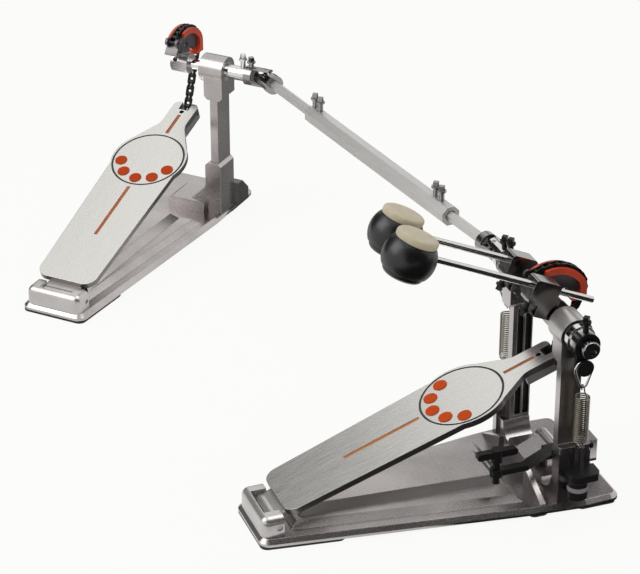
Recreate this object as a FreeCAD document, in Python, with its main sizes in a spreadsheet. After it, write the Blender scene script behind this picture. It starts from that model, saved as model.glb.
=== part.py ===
import FreeCAD, Part
import math
import os
import re
import types

import Sketcher

# Double bass drum pedal: primary pedal with two beaters, slave pedal and drive shaft
# Frame: origin on the floor under the primary axle, +X to the player's right, +Y to the drum, +Z up, mm

V = FreeCAD.Vector
Rotation = FreeCAD.Rotation
Placement = FreeCAD.Placement
os.makedirs("parts", exist_ok=True)
doc = FreeCAD.newDocument("double_pedal")
sheet = doc.addObject("Spreadsheet::Sheet", "sizes")

SIZES = {
    # Axles and fits
    "axle_height": 196, "axle_dia": 12, "running": 0.06, "spigot_dia": 6, "spigot_length": 32,
    "bearing_dia": 22, "bearing_width": 8,
    # Slave pedal's place and turn
    "slave_x": -706, "slave_y": -155, "slave_yaw": 43.3,
    # Base plates and floor pads
    "pad_height": 3, "base_thick": 7, "base_slope": 4.2, "heel_margin": 20.7, "heel_half": 40,
    "waist_y": -42, "waist_half": 78.5, "shoulder_y": 14.5, "shoulder_half": 83.5, "toe_y": 53,
    "toe_half": 81.5,
    "slave_waist_y": -26, "slave_waist_half": 58.8, "slave_toe_y": 72, "slave_toe_half": 58.3,
    "tier_one": 6, "tier_two": 8, "tier_margin": 14, "tier_toe": -36,
    # Heel hinge
    "toe_reach": 34, "hinge_z": 19, "hinge_dia": 6, "heel_block_half": 35, "heel_block_tail": 18,
    "heel_block_nose": 5, "heel_block_top": 31, "notch_deep": 11.5, "leaf_half": 20, "leaf_gap": 0.5,
    "knuckle_radius": 8,
    "leaf_thick": 4, "leaf_length": 70,
    # Footboard, along s from the hinge pin and n square to the board
    "board_top": 13.6, "board_thick": 6.5, "board_heel": 12.5, "board_heel_half": 37, "bulge_back": 103,
    "bulge_half": 46.5, "taper_back": 85, "taper_half": 43, "neck_length": 40.5, "neck_half": 16,
    "board_toe": 328,
    "toe_pin_back": 6.4, "toe_pin_n": 4.6, "toe_pin_dia": 4, "slot_half": 6.5, "slot_length": 12.5,
    "flange_drop": 16,
    "flange_thick": 4.5, "ring_back": 105.1, "ring_radius": 44.5, "ring_width": 2.2, "inlay_deep": 0.5,
    "dot_dia": 14.5, "dot_circle": 32.9, "dot_step": 35.8, "dot_rise": 0.8, "dot_seat": 1.2,
    "stripe_gap": 4, "stripe_length": 84.6, "stripe_back": 22, "stripe_half": 2.1,
    "toe_screw_back": 16.7, "toe_screw_dia": 5.6,
    # Cam and chain
    "cam_radius": 39.4, "cam_y": 5, "cam_z": 2, "nose_radius": 20, "nose_turn": 40, "chain_pitch": 7.52,
    "plate_half": 3, "inner_x": 1.8, "outer_x": 3, "plate_thick": 0.9, "roller_radius": 2.4,
    "link_pin_radius": 1.2,
    "rivet_x": 4.4, "flange_in": 5, "flange_out": 8, "band_drop": 7, "floor_drop": 4, "flange_rise": 1.5,
    "far_end": -18, "flange_end": -6, "flange_low": 2,
    "heel_drop": 9, "heel_low": 18, "web_half": 4, "web_low": -10, "hub_radius": 12, "hub_left": -17,
    "hub_right": 11,
    "slave_hub_left": -9, "slave_hub_right": 13, "anchor_radius": 2, "ear_radius": 4.6, "light_circle": 21,
    # Posts
    "post_x": 55, "head_length": 30, "head_radius": 17, "neck_width": 20, "neck_depth": 32, "neck_drop": 30,
    "stem_thick": 10, "stem_depth": 30, "stem_back": 15, "stem_front": 7, "post_half": 15,
    "stem_low": 78, "foot_block_depth": 34, "foot_curve": 20,
    "slave_post_x": 47.5, "slave_head_length": 31, "slave_neck_width": 24.5,
    "slave_stem_set": 3.5, "slave_foot_set": 1.5, "slave_foot_width": 21, "slave_beam_left": 11,
    "slave_beam_back": 22.5,
    "slave_neck_drop": 35,
    "recess_deep": 2.5, "recess_wide": 6.5, "recess_edge": 1.5, "recess_rib": 2.5, "recess_low": 34,
   
    "beam_top": 20, "beam_half_y": 16, "slave_beam_top": 25.5, "bracket_top": 40, "bracket_deep": 26,
    "bracket_side": 18, "bracket_slope": 15,
    "rib_start": 31, "rib_end": 74, "rib_high": 20, "rib_near": 26, "rib_far": 32,
    # Beaters, d from the axle along the rod and n square to it
    "beater_x": 28, "beater_tilt": -24, "rod_offset": 25, "rod_dia": 7, "rod_tail": 28, "head_d": 184.4,
    "left_head_d": 175.3,
    "holder_width": 18, "holder_near": 16, "holder_far": 46, "holder_low": 7.5, "holder_high": 33.5,
    "holder_hub": 14, "head_dia": 54.4, "head_middle": 21, "head_low": 7, "head_high": 37.5, "head_disc": 21,
    "felt_dia": 43, "felt_thick": 8,
    # Spring gear
    "spring_x": 88.5, "collar_start": 72, "collar_end": 80, "collar_radius": 15, "rocker_end": 94,
    "rocker_radius": 13.5, "rocker_arm": 25, "spool_radius": 4.6, "spool_flange": 8.6, "cap_end": 104,
    "cap_radius": 9.25, "key_bolt_high": 30,
    "ring_wire": 1.2, "ring_bend": 9.3, "ring_tip": 4, "ring_clear": 0.4, "ring_length": 31.4,
    "spring_wire": 0.8, "spring_radius": 7.2, "coil_pitch": 2.25, "hook_low": 6.5, "hook_high": 8.5,
    "hook_radius": 3.4,
    "bar_z": 82, "bar_radius": 1.6, "prong_gap": 6.2, "prong_thick": 2.6,
    "bracket_low": 42, "bracket_high": 50, "knob_low": 22.5, "knob_radius": 10.5, "lug_low": 67,
    "lug_high": 75, "lug_gap": 0.8, "foot_gap": 1.9,
    # Drive shaft and joints
    "joint_x": -122, "slave_joint_x": 113, "fork_in": 8.2, "fork_out": 11.6, "fork_half": 6,
    "fork_web": 14.5,
    "fork_hub": 24, "fork_tip": 6.5, "cross_radius": 2.5, "cross_half": 4.5, "cross_play": 0.9,
    "left_phase": 17,
    "slave_phase": -12, "sleeve_radius": 8.5, "sleeve_start": 66,
    "rod_flat": 5.2, "tube_radius": 11.3, "tube_start": 117, "tube_end": 418, "tube_clear": 0.2,
    # Hoop clamp
    "pivot_y": 2, "pivot_z": 42, "pivot_radius": 8, "lever_left": 2, "lever_right": 26, "lug_thick": 4.5,
    "side_gap": 0.5, "shaft_radius": 4.5, "arm_left": 32, "arm_right": 44, "arm_low": 4.5, "arm_high": 10.5,
    "arm_half": 4.4,
    "arm_bend": -44, "tail_reach": 34, "tail_drop": 14, "tail_thick": 4, "pin_depth": 12,
    "wing_x": 58, "wing_y": -75, "wing_half": 21.5, "wing_low": 67.6, "wing_high": 75, "wing_tip": 37,
    "wing_shank": 3.6, "boss_radius": 6.6, "jaw_front": 52, "jaw_back": 38, "jaw_low": 20, "jaw_pad": 3,
    # Screws
    "screw_radius": 3, "screw_head": 5,
}

# Places that follow from the sizes
DERIVED = {
    "hinge_y": "toe_reach - board_toe",
    "heel_edge": "hinge_y - heel_margin",
    "heel_block_back": "hinge_y - heel_block_tail",
    "heel_block_front": "hinge_y + heel_block_nose",
    "tier_heel": "hinge_y + tier_margin",
    "bulge_s": "board_toe - bulge_back",
    "taper_s": "board_toe - taper_back",
    "neck_s": "board_toe - neck_length",
    "toe_pin_s": "board_toe - toe_pin_back",
    "slot_s": "board_toe - slot_length",
    "ring_s": "board_toe - ring_back",
    "stripe_low_end": "ring_s - ring_radius - stripe_gap",
    "stripe_low_start": "stripe_low_end - stripe_length",
    "stripe_high_start": "ring_s + ring_radius + stripe_gap",
    "stripe_high_end": "board_toe - stripe_back",
    "toe_screw_s": "board_toe - toe_screw_back",
    "neck_low": "axle_height - neck_drop",
    "slave_neck_low": "axle_height - slave_neck_drop",
    "ring_top": "axle_height - rocker_arm + spool_radius + ring_clear + ring_wire + ring_wire",
    "ring_low": "ring_top - ring_length",
    "coil_low": "bar_z + hook_low",
    "coil_high": "ring_low - hook_high",
    "lug_end": "spring_x - prong_gap - prong_thick - lug_gap",
    "deck_z": "pad_height + base_thick",
    "foot_side": "lug_end - foot_gap",
}
s = types.SimpleNamespace(**SIZES)

for row, (alias, value) in enumerate(SIZES.items(), 1):
    sheet.set("A%d" % row, alias)
    sheet.set("B%d" % row, str(value))
    sheet.setAlias("B%d" % row, alias)
doc.recompute()

WORD = re.compile(r"[a-z]+(?:_[a-z]+)*")
NODES = []


def formula(text):
    """Expression text with each size's name pointed at the sheet."""
    def cell(match):
        word = match.group(0)
        if word in DERIVED:
            return "(" + formula(DERIVED[word]) + ")"
        return "sizes." + word if word in SIZES else word
    return WORD.sub(cell, str(text))


def number(text):
    """Number of a sum of sizes and figures."""
    total = 0.0
    for sign, word in re.findall(r"([+-]?)\s*([a-z_]+|[0-9.]+)", str(text)):
        if word in DERIVED:
            amount = number(DERIVED[word])
        else:
            amount = float(SIZES.get(word, 0) if word in SIZES else word)
        total += -amount if sign == "-" else amount
    return total


for word, text in DERIVED.items():
    setattr(s, word, number(text))


def bind(obj, prop, text):
    obj.setExpression(prop, formula(text))


def box(x, y, z):
    """Block between two bounds on each axis."""
    block = doc.addObject("Part::Box", "Block")
    for side, span, axis in (("Length", x, "x"), ("Width", y, "y"), ("Height", z, "z")):
        bind(block, side, "(%s) - (%s)" % (span[1], span[0]))
        bind(block, "Placement.Base." + axis, span[0])
    return block


AIM = {"x": Rotation(V(0, 1, 0), 90), "y": Rotation(V(1, 0, 0), -90), "z": Rotation()}
OTHERS = {"x": ("y", "z"), "y": ("x", "z"), "z": ("x", "y")}


def aim(obj, axis, span, first, second, spin=0):
    obj.Placement = Placement(V(), AIM[axis].multiply(Rotation(V(0, 0, 1), spin)))
    bind(obj, "Height", "(%s) - (%s)" % (span[1], span[0]))
    bind(obj, "Placement.Base." + axis, span[0])
    bind(obj, "Placement.Base." + OTHERS[axis][0], first)
    bind(obj, "Placement.Base." + OTHERS[axis][1], second)
    return obj


def rod(axis, radius, span, first="0", second="0"):
    """Cylinder along an axis between two bounds."""
    round_bar = doc.addObject("Part::Cylinder", "Round")
    bind(round_bar, "Radius", radius)
    return aim(round_bar, axis, span, first, second)


def prism(axis, sides, radius, span, first="0", second="0", spin=0):
    bar = doc.addObject("Part::Prism", "Prism")
    bar.Polygon = sides
    bind(bar, "Circumradius", radius)
    return aim(bar, axis, span, first, second, spin)


def fuse(*parts):
    whole = doc.addObject("Part::MultiFuse", "Joined")
    whole.Shapes = list(parts)
    return whole


def cut(base, *tools):
    for tool in tools:
        result = doc.addObject("Part::Cut", "Cut")
        result.Base = base
        result.Tool = tool
        base = result
    return base


def group(*parts):
    """Separate solids in one piece."""
    whole = doc.addObject("Part::Compound", "Group")
    whole.Links = list(parts)
    return whole


def placed(part, x="0", y="0", z="0", axis=(0, 0, 1), angle=0):
    """Moved copy of a part, as a group of its own."""
    whole = group(part)
    return place(whole, x, y, z, axis, angle)


def place(obj, x="0", y="0", z="0", axis=(0, 0, 1), angle=0):
    number = s.__dict__.get(angle, angle)
    obj.Placement = Placement(V(), Rotation(V(*axis), number))
    bind(obj, "Placement.Base.x", x)
    bind(obj, "Placement.Base.y", y)
    bind(obj, "Placement.Base.z", z)
    if angle in SIZES:
        bind(obj, "Placement.Rotation.Angle", angle)
    return obj


def at_slave(obj):
    return place(obj, "slave_x", "slave_y", "0", (0, 0, 1), "slave_yaw")


def node(obj, label):
    obj.Label = label
    NODES.append(obj)
    return obj


def straight(edge, axis):
    if edge.Curve.TypeId != "Part::GeomLine":
        return False
    step = edge.lastVertex().Point - edge.firstVertex().Point
    return abs(abs(getattr(step, axis)) - step.Length) < 1e-6


def rounded(obj, radius, pick, kind="Part::Fillet"):
    """Fillet or chamfer on the edges that pick accepts."""
    doc.recompute()
    edges = [(i, radius, radius) for i, e in enumerate(obj.Shape.Edges, 1) if pick(e)]
    if not edges:
        raise ValueError("no edge to round on " + obj.Label)
    result = doc.addObject(kind, "Rounded")
    result.Base = obj
    result.Edges = edges
    return result


def shaped(shape, name="Shape"):
    feature = doc.addObject("Part::Feature", name)
    feature.Shape = shape
    return feature


# Sketched bodies

def new_body():
    return doc.addObject("PartDesign::Body", "Body")


def origin_plane(body, role):
    return [p for p in body.Origin.OriginFeatures if getattr(p, "Role", "") == role][0]


def sketch(body, role, lift="0"):
    drawing = body.newObject("Sketcher::SketchObject", "Sketch")
    drawing.AttachmentSupport = [(origin_plane(body, role), "")]
    drawing.MapMode = "FlatFace"
    bind(drawing, "AttachmentOffset.Base.z", lift)
    return drawing


def outline(drawing, points):
    """Closed outline whose corners are held at named sizes."""
    spots = [V(number(x), number(y), 0) for x, y in points]
    count = len(spots)
    first = drawing.GeometryCount
    for i in range(count):
        drawing.addGeometry(Part.LineSegment(spots[i], spots[(i + 1) % count]), False)
    for i in range(count):
        drawing.addConstraint(Sketcher.Constraint("Coincident", first + i, 2, first + (i + 1) % count, 1))
    for i, (x, y) in enumerate(points):
        for kind, text, value in (("DistanceX", x, spots[i].x), ("DistanceY", y, spots[i].y)):
            index = drawing.addConstraint(Sketcher.Constraint(kind, -1, 1, first + i, 1, value))
            drawing.setExpression("Constraints[%d]" % index, formula(text))


def circle(drawing, x, y, radius):
    index = drawing.addGeometry(Part.Circle(V(number(x), number(y), 0), V(0, 0, 1), number(radius)), False)
    held = (("DistanceX", x, number(x)), ("DistanceY", y, number(y)))
    for kind, text, value in held:
        c = drawing.addConstraint(Sketcher.Constraint(kind, -1, 1, index, 3, value))
        drawing.setExpression("Constraints[%d]" % c, formula(text))
    c = drawing.addConstraint(Sketcher.Constraint("Radius", index, number(radius)))
    drawing.setExpression("Constraints[%d]" % c, formula(radius))


def pad(body, drawing, length, reverse=False, taper=None):
    feature = body.newObject("PartDesign::Pad", "Pad")
    feature.Profile = drawing
    bind(feature, "Length", length)
    feature.Reversed = reverse
    if taper is not None:
        feature.TaperAngle = taper
    doc.recompute()
    return feature


def pocket(body, drawing, depth, reverse=False):
    before = body.Shape.Volume
    feature = body.newObject("PartDesign::Pocket", "Pocket")
    feature.Profile = drawing
    bind(feature, "Length", depth)
    feature.Reversed = reverse
    doc.recompute()
    if before - body.Shape.Volume < 0.5:
        raise ValueError("a pocket cut nothing")
    return feature


def soften(body, radius, pick, kind="PartDesign::Fillet"):
    tip = body.Tip
    names = ["Edge%d" % i for i, e in enumerate(tip.Shape.Edges, 1) if pick(e)]
    if not names:
        raise ValueError("no edge to soften")
    feature = body.newObject(kind, "Soft")
    feature.Base = (tip, names)
    bind(feature, "Size" if kind.endswith("Chamfer") else "Radius", radius)
    doc.recompute()
    return feature


def minus(text):
    """The same sum with every sign turned round."""
    swapped = re.sub(r"[+-]", lambda m: "-" if m.group(0) == "+" else "+", text)
    return "-" + swapped


def mirrored(points):
    """Right-hand half of an outline, heel to toe, and its mirror image."""
    return [(x, y) for x, y in points] + [(minus(x), y) for x, y in reversed(points)]


# Base plates

def base_plate(side):
    body = new_body()
    floor = sketch(body, "XY_Plane")
    outline(floor, mirrored(side))
    pad(body, floor, "base_thick")
    corners = (s.heel_edge, s.toe_y, s.slave_toe_y)
    soften(body, 11, lambda e: straight(e, "z") and any(abs(e.CenterOfMass.y - c) < 0.01 for c in corners))
    soften(body, "base_slope", lambda e: abs(e.BoundBox.ZMin - s.base_thick) < 0.01, "PartDesign::Chamfer")
    return body


SIDE = [("heel_half", "heel_edge"), ("waist_half", "waist_y"), ("shoulder_half", "shoulder_y"),
        ("toe_half", "toe_y")]
SLAVE_SIDE = [("heel_half", "heel_edge"), ("slave_waist_half", "slave_waist_y"),
              ("slave_toe_half", "slave_toe_y")]


def tiers(body, waist, low_heel, low_toe, high_heel, high_toe):
    """Two sloping steps that run from the heel block to the posts."""
    lower = sketch(body, "XY_Plane", "base_thick")
    outline(lower,
            mirrored([("heel_half - %s" % low_heel, "tier_heel"),
                      ("%s - %s" % (waist, low_toe), "tier_toe - 10")]))
    pad(body, lower, "tier_one", taper=-50)
    upper = sketch(body, "XY_Plane", "base_thick + tier_one")
    outline(upper,
            mirrored([("heel_half - %s" % high_heel, "tier_heel + 12"),
                      ("%s - %s" % (waist, high_toe), "tier_toe - 20")]))
    pad(body, upper, "tier_two", taper=-45)
    return body


primary_base = tiers(base_plate(SIDE), "waist_half", 11, 17, 22, 46)
bind(primary_base, "Placement.Base.z", "pad_height")
node(primary_base, "primary_base_plate")

slave_base = tiers(base_plate(SLAVE_SIDE), "slave_waist_half", 13, 12, 19, 36)
at_slave(slave_base)
bind(slave_base, "Placement.Base.z", "pad_height")
node(slave_base, "slave_base_plate")


def heel_pad(spread):
    """Pad as wide as the base above it, which spreads towards the toe."""
    body = new_body()
    floor = sketch(body, "XY_Plane")
    outline(floor,
            mirrored([("heel_half - 0.6", "heel_edge + 0.6"),
                      ("heel_half + %s" % spread, "heel_edge + 86")]))
    pad(body, floor, "pad_height")
    soften(body, 8, lambda e: straight(e, "z"))
    return body


def toe_pad(x, y):
    slab = box(x, y, (0, "pad_height"))
    return rounded(slab, 6, lambda e: straight(e, "z"))


primary_pads = [
    heel_pad(11),
    toe_pad(("toe_half - 34", "toe_half - 0.5"), ("toe_y - 46", "toe_y - 4")),
    toe_pad(("-toe_half + 0.5", "-toe_half + 34"), ("toe_y - 46", "toe_y - 4")),
    toe_pad((-30, 30), (-22, 30)),
    toe_pad(("waist_half - 18", "waist_half - 0.5"), ("waist_y - 2", "waist_y + 18")),
    toe_pad(("-waist_half + 0.5", "-waist_half + 18"), ("waist_y - 2", "waist_y + 18")),
]
slave_pads = [
    heel_pad(4.6),
    toe_pad(("slave_toe_half - 34", "slave_toe_half - 2"), ("slave_toe_y - 60", "slave_toe_y - 6")),
    toe_pad(("-slave_toe_half + 2", "-slave_toe_half + 34"), ("slave_toe_y - 60", "slave_toe_y - 6")),
]
node(group(*primary_pads, at_slave(group(*slave_pads))), "floor_pads")

# Heel blocks and hinge pins


def heel_block():
    block = box(("-heel_block_half", "heel_block_half"), ("heel_block_back", "heel_block_front"),
                ("deck_z", "heel_block_top"))
    block = rounded(block, 8, lambda e: straight(e, "z") and e.CenterOfMass.y < s.heel_block_front - 1)
    top = lambda e: (e.CenterOfMass.z > s.heel_block_top - 0.01
                     and e.CenterOfMass.y < s.heel_block_front - 0.01)
    block = rounded(block, 7.5, top)
    notch = box(("-leaf_half - leaf_gap", "leaf_half + leaf_gap"),
                ("hinge_y - notch_deep", "heel_block_front + 1"),
                ("deck_z", "heel_block_top + 1"))
    bore = rod("x", "hinge_dia / 2", ("-heel_block_half - 1", "heel_block_half + 1"), "hinge_y", "hinge_z")
    return cut(block, notch, bore)


node(group(heel_block(), at_slave(group(heel_block()))), "heel_blocks")


def hinge_pin():
    return rod("x", "hinge_dia / 2", ("-heel_block_half + 1", "heel_block_half - 1"), "hinge_y", "hinge_z")


clamp_pin = rod("x", "hinge_dia / 2", ("lever_left - side_gap - lug_thick", "lever_left + pin_depth"),
                "pivot_y", "pivot_z")
node(group(hinge_pin(), at_slave(group(hinge_pin())), clamp_pin), "hinge_pins")

# Chain geometry, in the pedal's y and z


def toe_pin(angle):
    c = math.cos(angle)
    d = math.sin(angle)
    y = s.hinge_y + s.toe_pin_s * c - s.toe_pin_n * d
    z = s.hinge_z + s.toe_pin_s * d + s.toe_pin_n * c
    return y, z


def nose_middle():
    """Middle of the cam's small arc, which meets the large arc smoothly."""
    step = s.cam_radius - s.nose_radius
    turn = math.radians(s.nose_turn)
    return s.cam_y + step * math.cos(turn), s.axle_height + s.cam_z + step * math.sin(turn)


def hang(angle):
    """Length of the straight run from the toe pin to the cam."""
    y, z = toe_pin(angle)
    nose = nose_middle()
    reach = math.hypot(nose[0] - y, nose[1] - z)
    return math.sqrt(max(reach ** 2 - s.nose_radius ** 2, 0))


def rest_angle(links):
    """Board angle at which the run is a whole number of links."""
    low = math.radians(-10)
    while hang(low + 0.01) > links * s.chain_pitch:
        low += 0.01
    high = low + 0.01
    for _ in range(60):
        middle = (low + high) / 2
        if hang(middle) > links * s.chain_pitch:
            low = middle
        else:
            high = middle
    return middle


def on_cam(start, along):
    """Point of the chain's pitch line, at a length along it from an angle on the small arc."""
    turn = math.radians(s.nose_turn)
    first = s.nose_radius * (turn - start)
    if along < first:
        middle, radius, angle = nose_middle(), s.nose_radius, start + along / s.nose_radius
    else:
        middle, radius = (s.cam_y, s.axle_height + s.cam_z), s.cam_radius
        angle = turn + (along - first) / s.cam_radius
    return middle[0] + radius * math.cos(angle), middle[1] + radius * math.sin(angle)


def chain_pins(links):
    """Pins of the run, of the two links that peel off the cam and of the wrapped part, as y and z."""
    foot = toe_pin(rest_angle(links))
    nose = nose_middle()
    to_foot = math.atan2(foot[1] - nose[1], foot[0] - nose[0])
    reach = math.hypot(foot[0] - nose[0], foot[1] - nose[1])
    start = to_foot + math.acos(s.nose_radius / reach)
    pins = [on_cam(start, 0)]
    along = 0.0
    for _ in range(11):
        low = along
        high = along + 2 * s.chain_pitch
        for _ in range(50):
            along = (low + high) / 2
            spot = on_cam(start, along)
            if math.hypot(spot[0] - pins[-1][0], spot[1] - pins[-1][1]) < s.chain_pitch:
                low = along
            else:
                high = along
        pins.append(on_cam(start, along))
    mix = lambda p, q, t: (p[0] + (q[0] - p[0]) * t, p[1] + (q[1] - p[1]) * t)
    run = [mix(foot, pins[0], i / links) for i in range(links + 1)]
    return run, pins[0:2], pins[1:3], pins[2:]


def link_plate(p, q, x0, x1):
    """Flat link plate with round ends."""
    a = V(x0, p[0], p[1])
    b = V(x0, q[0], q[1])
    along = (b - a).normalize()
    side = V(1, 0, 0).cross(along) * s.plate_half
    tip = along * s.plate_half
    edges = [
        Part.makeLine(a + side, b + side),
        Part.Arc(b + side, b + tip, b - side).toShape(),
        Part.makeLine(b - side, a - side),
        Part.Arc(a - side, a - tip, a + side).toShape(),
    ]
    return Part.Face(Part.Wire(edges)).extrude(V(x1 - x0, 0, 0))


def pin_bar(p, radius, x0, x1):
    return Part.makeCylinder(radius, x1 - x0, V(x0, p[0], p[1]), V(1, 0, 0))


def chain_part(pins, first_inner, start, end, extra=()):
    """Links along pins. start and end say what each end holds: solid, bore, pin or open."""
    solids = []
    holes = []
    last = len(pins) - 2
    for i in range(last + 1):
        inner = first_inner if i % 2 == 0 else not first_inner
        x0 = s.inner_x if inner else s.outer_x
        x1 = x0 + s.plate_thick
        solids.append(link_plate(pins[i], pins[i + 1], x0, x1))
        solids.append(link_plate(pins[i], pins[i + 1], -x1, -x0))
        if inner:
            solids.append(pin_bar(pins[i], s.roller_radius, -x0 - 0.1, x0 + 0.1))
            solids.append(pin_bar(pins[i + 1], s.roller_radius, -x0 - 0.1, x0 + 0.1))
    for i, p in enumerate(pins):
        mode = start if i == 0 else end if i == len(pins) - 1 else "pin"
        if mode == "pin":
            solids.append(pin_bar(p, s.link_pin_radius, -s.rivet_x, s.rivet_x))
        elif mode == "open":
            solids.append(pin_bar(p, s.link_pin_radius, s.outer_x + 0.1, s.rivet_x))
            solids.append(pin_bar(p, s.link_pin_radius, -s.rivet_x, -s.outer_x - 0.1))
        elif mode == "bore":
            holes.append(pin_bar(p, s.link_pin_radius + s.running, -s.rivet_x, s.rivet_x))
    solids += list(extra)
    whole = solids[0].multiFuse(solids[1:])
    for hole in holes:
        whole = whole.cut(hole)
    return whole


def chain_nodes(prefix, links, to_place):
    run, low_segment, high_segment, wrap = chain_pins(links)
    bottom_inner = links % 2 == 1
    toe = pin_bar(run[0], s.toe_pin_dia / 2, -s.neck_half + 1, s.neck_half - 1)
    anchor = pin_bar(wrap[-1], s.anchor_radius, -s.flange_out, s.flange_out)
    shapes = (
        ("run", chain_part(run, bottom_inner, "solid", "solid", [toe])),
        ("low", chain_part(low_segment, False, "open", "pin")),
        ("high", chain_part(high_segment, True, "bore", "bore")),
        ("wrap", chain_part(wrap, False, "pin", "solid", [anchor])),
    )
    for word, shape in shapes:
        node(to_place(group(shaped(shape, "Links"))), "%s_chain_%s" % (prefix, word))
    return wrap[-1]


def as_is(obj):
    return obj


primary_anchor = chain_nodes("primary", 10, as_is)
slave_anchor = chain_nodes("slave", 11, at_slave)

# Footboards


def footboard():
    body = new_body()
    deck = sketch(body, "XY_Plane", "board_top - board_thick")
    outline(deck, mirrored([("board_heel_half", "board_heel"), ("bulge_half - 4", "bulge_s - 25"),
                            ("taper_half", "taper_s"), ("neck_half", "neck_s"), ("neck_half", "board_toe")]))
    pad(body, deck, "board_thick")
    soften(body, 14, lambda e: straight(e, "z") and abs(e.CenterOfMass.y - s.board_heel) < 0.01)
    soften(body, 22, lambda e: straight(e, "z") and abs(e.CenterOfMass.y - s.neck_s) < 0.01)
    bulge = sketch(body, "XY_Plane", "board_top - board_thick")
    circle(bulge, "0", "bulge_s", "bulge_half")
    pad(body, bulge, "board_thick")
    for sign in ("", "-"):
        flange = sketch(body, "XY_Plane", "board_top - board_thick")
        outline(flange, [(sign + "neck_half", "neck_s"), (sign + "neck_half", "board_toe"),
                         (sign + "slot_half", "board_toe"), (sign + "slot_half", "slot_s"),
                         (sign + "neck_half %s flange_thick" % ("-" if not sign else "+"), "slot_s - 8"),
                         (sign + "neck_half %s flange_thick" % ("-" if not sign else "+"), "neck_s")])
        pad(body, flange, "flange_drop - board_thick", reverse=True)
    far = lambda e: (abs(e.CenterOfMass.y - s.board_toe) < 0.01
                     and abs(abs(e.CenterOfMass.x) - s.neck_half) < 0.01)
    soften(body, 6, lambda e: straight(e, "z") and far(e))
    slot = sketch(body, "XY_Plane", "board_top + 1")
    outline(slot, [("-slot_half", "slot_s"), ("slot_half", "slot_s"), ("slot_half", "board_toe + 1"),
                   ("-slot_half", "board_toe + 1")])
    pocket(body, slot, "flange_drop + board_thick + 4")
    bore = sketch(body, "YZ_Plane", "-neck_half - 1")
    circle(bore, "toe_pin_s", "toe_pin_n", "toe_pin_dia / 2 + running")
    pocket(body, bore, "2 * neck_half + 2", reverse=True)
    inlay = sketch(body, "XY_Plane", "board_top")
    circle(inlay, "0", "ring_s", "ring_radius")
    circle(inlay, "0", "ring_s", "ring_radius - ring_width")
    pocket(body, inlay, "inlay_deep")
    for low, high in (("stripe_low_start", "stripe_low_end"), ("stripe_high_start", "stripe_high_end")):
        stripe = sketch(body, "XY_Plane", "board_top")
        outline(stripe,
                [("-stripe_half", low), ("stripe_half", low), ("stripe_half", high), ("-stripe_half", high)])
        pocket(body, stripe, "inlay_deep")
    screw = sketch(body, "XY_Plane", "board_top")
    circle(screw, "0", "toe_screw_s", "toe_screw_dia / 2")
    pocket(body, screw, 3)
    seats = sketch(body, "XY_Plane", "board_top")
    for x, y in dot_spots():
        index = seats.addGeometry(Part.Circle(V(x, y, 0), V(0, 0, 1), s.dot_dia / 2), False)
        seats.addConstraint(Sketcher.Constraint("DistanceX", -1, 1, index, 3, x))
        seats.addConstraint(Sketcher.Constraint("DistanceY", -1, 1, index, 3, y))
        c = seats.addConstraint(Sketcher.Constraint("Radius", index, s.dot_dia / 2))
        seats.setExpression("Constraints[%d]" % c, formula("dot_dia / 2"))
    pocket(body, seats, "dot_seat")
    return body


def dot_spots():
    """Dots on the heel-ward half of the ring, symmetric about the board's middle."""
    spots = []
    for i in range(-2, 3):
        a = math.radians(270 + i * s.dot_step)
        spots.append((s.dot_circle * math.cos(a), s.ring_s + s.dot_circle * math.sin(a)))
    return spots


def dots():
    return group(*[rod("z", "dot_dia / 2", ("board_top - dot_seat", "board_top + dot_rise"), x, y)
                   for x, y in dot_spots()])


def hinge_leaf():
    low = "board_top - board_thick - leaf_thick"
    plate = box(("-leaf_half", "leaf_half"), (-5, "leaf_length"), (low, "board_top - board_thick"))
    knuckle = rod("x", "knuckle_radius", ("-leaf_half", "leaf_half"))
    bore = rod("x", "hinge_dia / 2 + running", ("-leaf_half - 1", "leaf_half + 1"))
    return cut(fuse(plate, knuckle), bore)


def on_board(obj, links, slave):
    """Places a piece drawn in the board's own s and n, on the hinge at its rest angle."""
    tilt = Rotation(V(1, 0, 0), math.degrees(rest_angle(links)))
    spot = Placement(V(0, s.hinge_y, s.hinge_z), tilt)
    if slave:
        spot = Placement(V(s.slave_x, s.slave_y, 0), Rotation(V(0, 0, 1), s.slave_yaw)).multiply(spot)
    obj.Placement = spot
    return obj


for prefix, links, slave in (("primary", 10, False), ("slave", 11, True)):
    node(on_board(footboard(), links, slave), prefix + "_footboard")
    node(on_board(hinge_leaf(), links, slave), prefix + "_hinge_leaf")
    node(on_board(dots(), links, slave), prefix + "_grip_dots")

# Cams


def profile(drop, x0, x1):
    """The cam's outline, a distance inside the chain's pitch line: the large arc and the small one."""
    y = "cam_y"
    z = "axle_height + cam_z"
    disc = rod("x", "cam_radius - (%s)" % drop, (x0, x1), y, z)
    under = box(("%s - 1" % x0, "%s + 1" % x1), ("-3 * cam_radius", "3 * cam_radius"),
                ("-3 * cam_radius", "0"))
    upper = cut(disc, placed(under, "0", y, z, (1, 0, 0), "nose_turn"))
    nose = nose_middle()
    return fuse(upper, rod("x", "nose_radius - (%s)" % drop, (x0, x1), "%.4f" % nose[0], "%.4f" % nose[1]))


def below(height):
    """Everything under a height above the axle."""
    return box((-50, 50), ("-4 * cam_radius", "4 * cam_radius"), (0, "axle_height + " + height))


def groove():
    return cut(profile("-2 * floor_drop", "-flange_in", "flange_in"),
               profile("floor_drop", "-flange_out", "flange_out"))


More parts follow.
